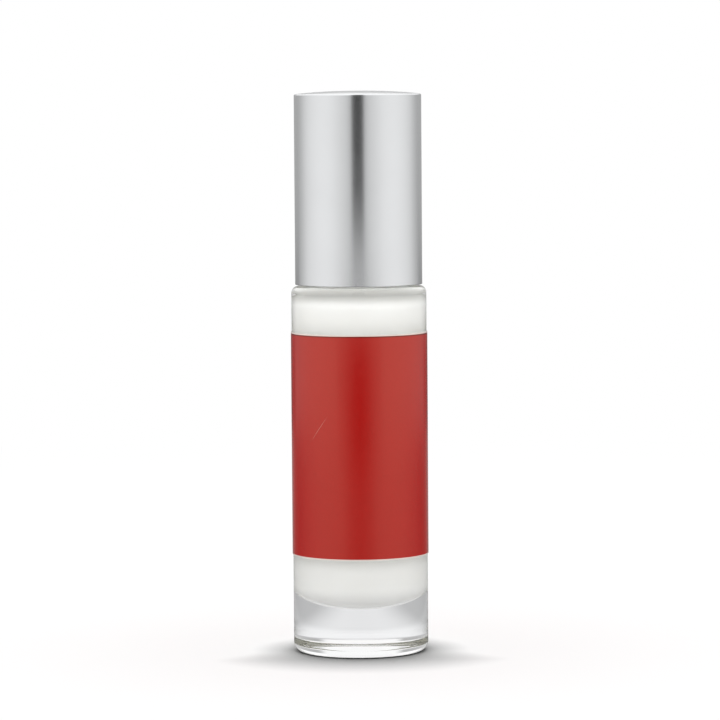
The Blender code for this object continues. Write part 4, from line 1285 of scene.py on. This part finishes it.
def studio_light(stage):
    """The world: soft light from the sides and above, dimmer behind, and white where the backdrop shows."""
    world = bpy.data.worlds.new("soft_studio")
    bpy.context.scene.world = world
    nodes, surface = light_tree(world, "World")
    x, y, z = nodes.axes(nodes.add("TexCoord", output="Generated"))
    azimuth, height = nodes.azimuth(x, y), z.calc("ARCSINE") * DEGREES
    behind = height.step(*BACK_RISE) * azimuth.step(*BACK_SIDES)
    lift = height.step(*OVERHEAD_RISE).calc("MAXIMUM", behind)
    shelf = azimuth.step(*SHELF_SIDES) * height.step(*SHELF_RISE)
    strength = nodes.by_angle(azimuth, WALL_LIGHT) * stage.side * shelf.flipped()
    strength = strength + (strength * -1.0 + stage.overhead) * lift
    through, lit = nodes.rays_inside()
    fill = azimuth.step(*FILL_SIDES, stage.fill, stage.fill_back)
    light = nodes.glow(strength * (through * lit * (fill - 1.0) + 1.0), kind="Background")
    sheet = azimuth.step(*SHEET_SIDES) * through * lit.flipped()
    seen = nodes.ray("Is Camera Ray").calc("MAXIMUM", sheet)
    nodes.put(surface, nodes.either(seen, light, nodes.glow(1.0, kind="Background")))


def studio_floor(stage):
    """A round pale floor that keeps the bottle's shadow, deepened by a contact shadow painted into its
    colour, and fades into the white behind it.

    Rays that come through the glass and mirrored rays see painted levels of light and shade of their own.
    """
    shape = bmesh.new()
    bmesh.ops.create_circle(shape, cap_ends=True, radius=stage.floor, segments=BODY_STEPS)
    floor = loose_object("studio_floor", shape)
    material = bpy.data.materials.new("pale_floor")
    nodes, surface = light_tree(material, "Material")
    x, y, _ = nodes.axes(nodes.place())
    away, beside = (x * x + y * y).calc("SQRT"), x.calc("ABSOLUTE")
    # Painted shadow: ambient occlusion darkens the floor's colour round the foot, reaching farther and deeper
    # in front.
    front = y.step(*FRONT)
    spread = front * (stage.contact_front - stage.contact) + stage.contact
    power = front * (FRONT_POWER - SIDE_POWER) + SIDE_POWER
    shade = nodes.add("AmbientOcclusion", {"Distance": spread}, output=1).calc("POWER", power)
    white = (stage.floor_white,) * 3
    near = nodes.add("BsdfDiffuse", {"Color": nodes.mix(shade, (0.0, 0.0, 0.0), white)})
    plain = nodes.either(away.step(stage.floor_near, stage.floor_far), near, nodes.glow(1.0))
    # Painted shade seen through the glass: the floor glows dimmer behind and towards the sides, and darker in
    # its painted contact shadow.
    dim = y.step(*FAR_SIDE) * beside.step(*BESIDE)
    dim = dim * (beside.step(*CONTACT_SIDES) * (shade - 1.0) + 1.0)
    through, lit = nodes.rays_inside()
    # Light that the serum gets from the floor under the glass glows at half level near the foot.
    inside = nodes.either(lit, nodes.glow(dim, COOL_WHITE), nodes.glow(away.step(*UNDER_GLASS)))
    # Painted reflection: mirrored rays see the floor glow at levels given by the angle from the front.
    gloss = nodes.glow(nodes.by_angle(nodes.azimuth(x, y), FLOOR_GLOSS))
    mirrored = nodes.ray("Is Glossy Ray") * through.flipped()
    nodes.put(surface, nodes.either(mirrored, nodes.either(through, plain, inside), gloss))
    floor.data.materials.append(material)


def studio_flag(stage, name, place, edge):
    """A dark card in front of the bottle, which only shows in the gloss of its metal and film.

    It goes from its own darkness in the middle to the radiance of edge at its sides.
    """
    half, low, high = place
    shape = bmesh.new()
    bmesh.ops.create_grid(shape, x_segments=1, y_segments=1, size=0.5)
    stand = Matrix.Rotation(QUARTER, 4, "X") @ Matrix.Diagonal((2 * half, high - low, 1.0, 1.0))
    moved(shape, Matrix.Translation((0.0, -stage.flag_distance, (low + high) / 2)) @ stand)
    flag = loose_object(name, shape)
    flag.visible_camera = flag.visible_diffuse = flag.visible_transmission = flag.visible_shadow = False
    material = bpy.data.materials.new(name)
    nodes, surface = light_tree(material, "Material")
    aside = nodes.axes(nodes.place())[0].calc("ABSOLUTE")
    nodes.put(surface, nodes.glow(aside.step(0.0, half, stage.flag, edge)))
    flag.data.materials.append(material)


def studio_camera(stage):
    """The camera at the photograph's viewing angle."""
    data = bpy.data.cameras.new("camera")
    data.lens = stage.lens
    data.sensor_width = 36.0
    data.clip_start = 0.01
    camera = bpy.data.objects.new("camera", data)
    bpy.context.scene.collection.objects.link(camera)
    look_down = Matrix.Rotation(QUARTER - stage.tilt, 4, "X")
    roll = Matrix.Rotation(-stage.roll, 4, "Z")
    camera.matrix_world = Matrix.Translation((stage.aside, -stage.distance, stage.height)) @ look_down @ roll
    bpy.context.scene.camera = camera


class SERUM_OT_studio(bpy.types.Operator):
    """Set up the floor, the light and the camera"""

    bl_idname = "serum_bottle.studio"
    bl_label = "Studio"
    bl_options = {"REGISTER", "UNDO"}

    def execute(self, context):
        scene, stage = context.scene, context.scene.studio
        studio_light(stage)
        studio_floor(stage)
        studio_flag(stage, "cap_flag", CAP_FLAG, stage.flag)
        studio_flag(stage, "label_flag", LABEL_FLAG, stage.flag_edge)
        studio_camera(stage)
        scene.view_settings.view_transform = "Standard"
        scene.cycles.blur_glossy = 0.0
        scene.cycles.diffuse_bounces = scene.cycles.glossy_bounces = 12
        scene.cycles.transmission_bounces = 24
        scene.cycles.max_bounces = 32
        return {"FINISHED"}


GROUPS = {
    "glass_sizes": GlassSizes,
    "label_sizes": LabelSizes,
    "cap_sizes": CapSizes,
    "pump_sizes": PumpSizes,
    "finishes": Finishes,
    "studio": Studio,
}
STEPS = (
    SERUM_OT_glass,
    SERUM_OT_filling,
    SERUM_OT_label,
    SERUM_OT_cap,
    SERUM_OT_closure,
    SERUM_OT_button,
    SERUM_OT_pump,
    SERUM_OT_spring,
    SERUM_OT_valve,
    SERUM_OT_studio,
)


class SERUM_PT_panel(bpy.types.Panel):
    """Lists the pieces and their sizes in the 3D view's sidebar"""

    bl_idname = "SERUM_PT_panel"
    bl_label = "Serum Bottle"
    bl_space_type = "VIEW_3D"
    bl_region_type = "UI"
    bl_category = "Serum Bottle"

    def draw(self, context):
        for step in STEPS:
            self.layout.operator(step.bl_idname)
        for name, group in GROUPS.items():
            box = self.layout.box()
            box.label(text=group.__doc__)
            for prop in group.__annotations__:
                box.prop(getattr(context.scene, name), prop)


def register():
    for item in (*GROUPS.values(), *STEPS, SERUM_PT_panel):
        bpy.utils.register_class(item)
    for name, group in GROUPS.items():
        setattr(bpy.types.Scene, name, bpy.props.PointerProperty(type=group))


def unregister():
    for name in GROUPS:
        delattr(bpy.types.Scene, name)
    for item in (SERUM_PT_panel, *reversed(STEPS), *reversed(GROUPS.values())):
        bpy.utils.unregister_class(item)


def main():
    """Build every piece, then the studio."""
    register()
    for step in STEPS:
        group, name = step.bl_idname.split(".")
        getattr(getattr(bpy.ops, group), name)()
    bpy.context.view_layer.update()


if __name__ == "__main__":
    main()
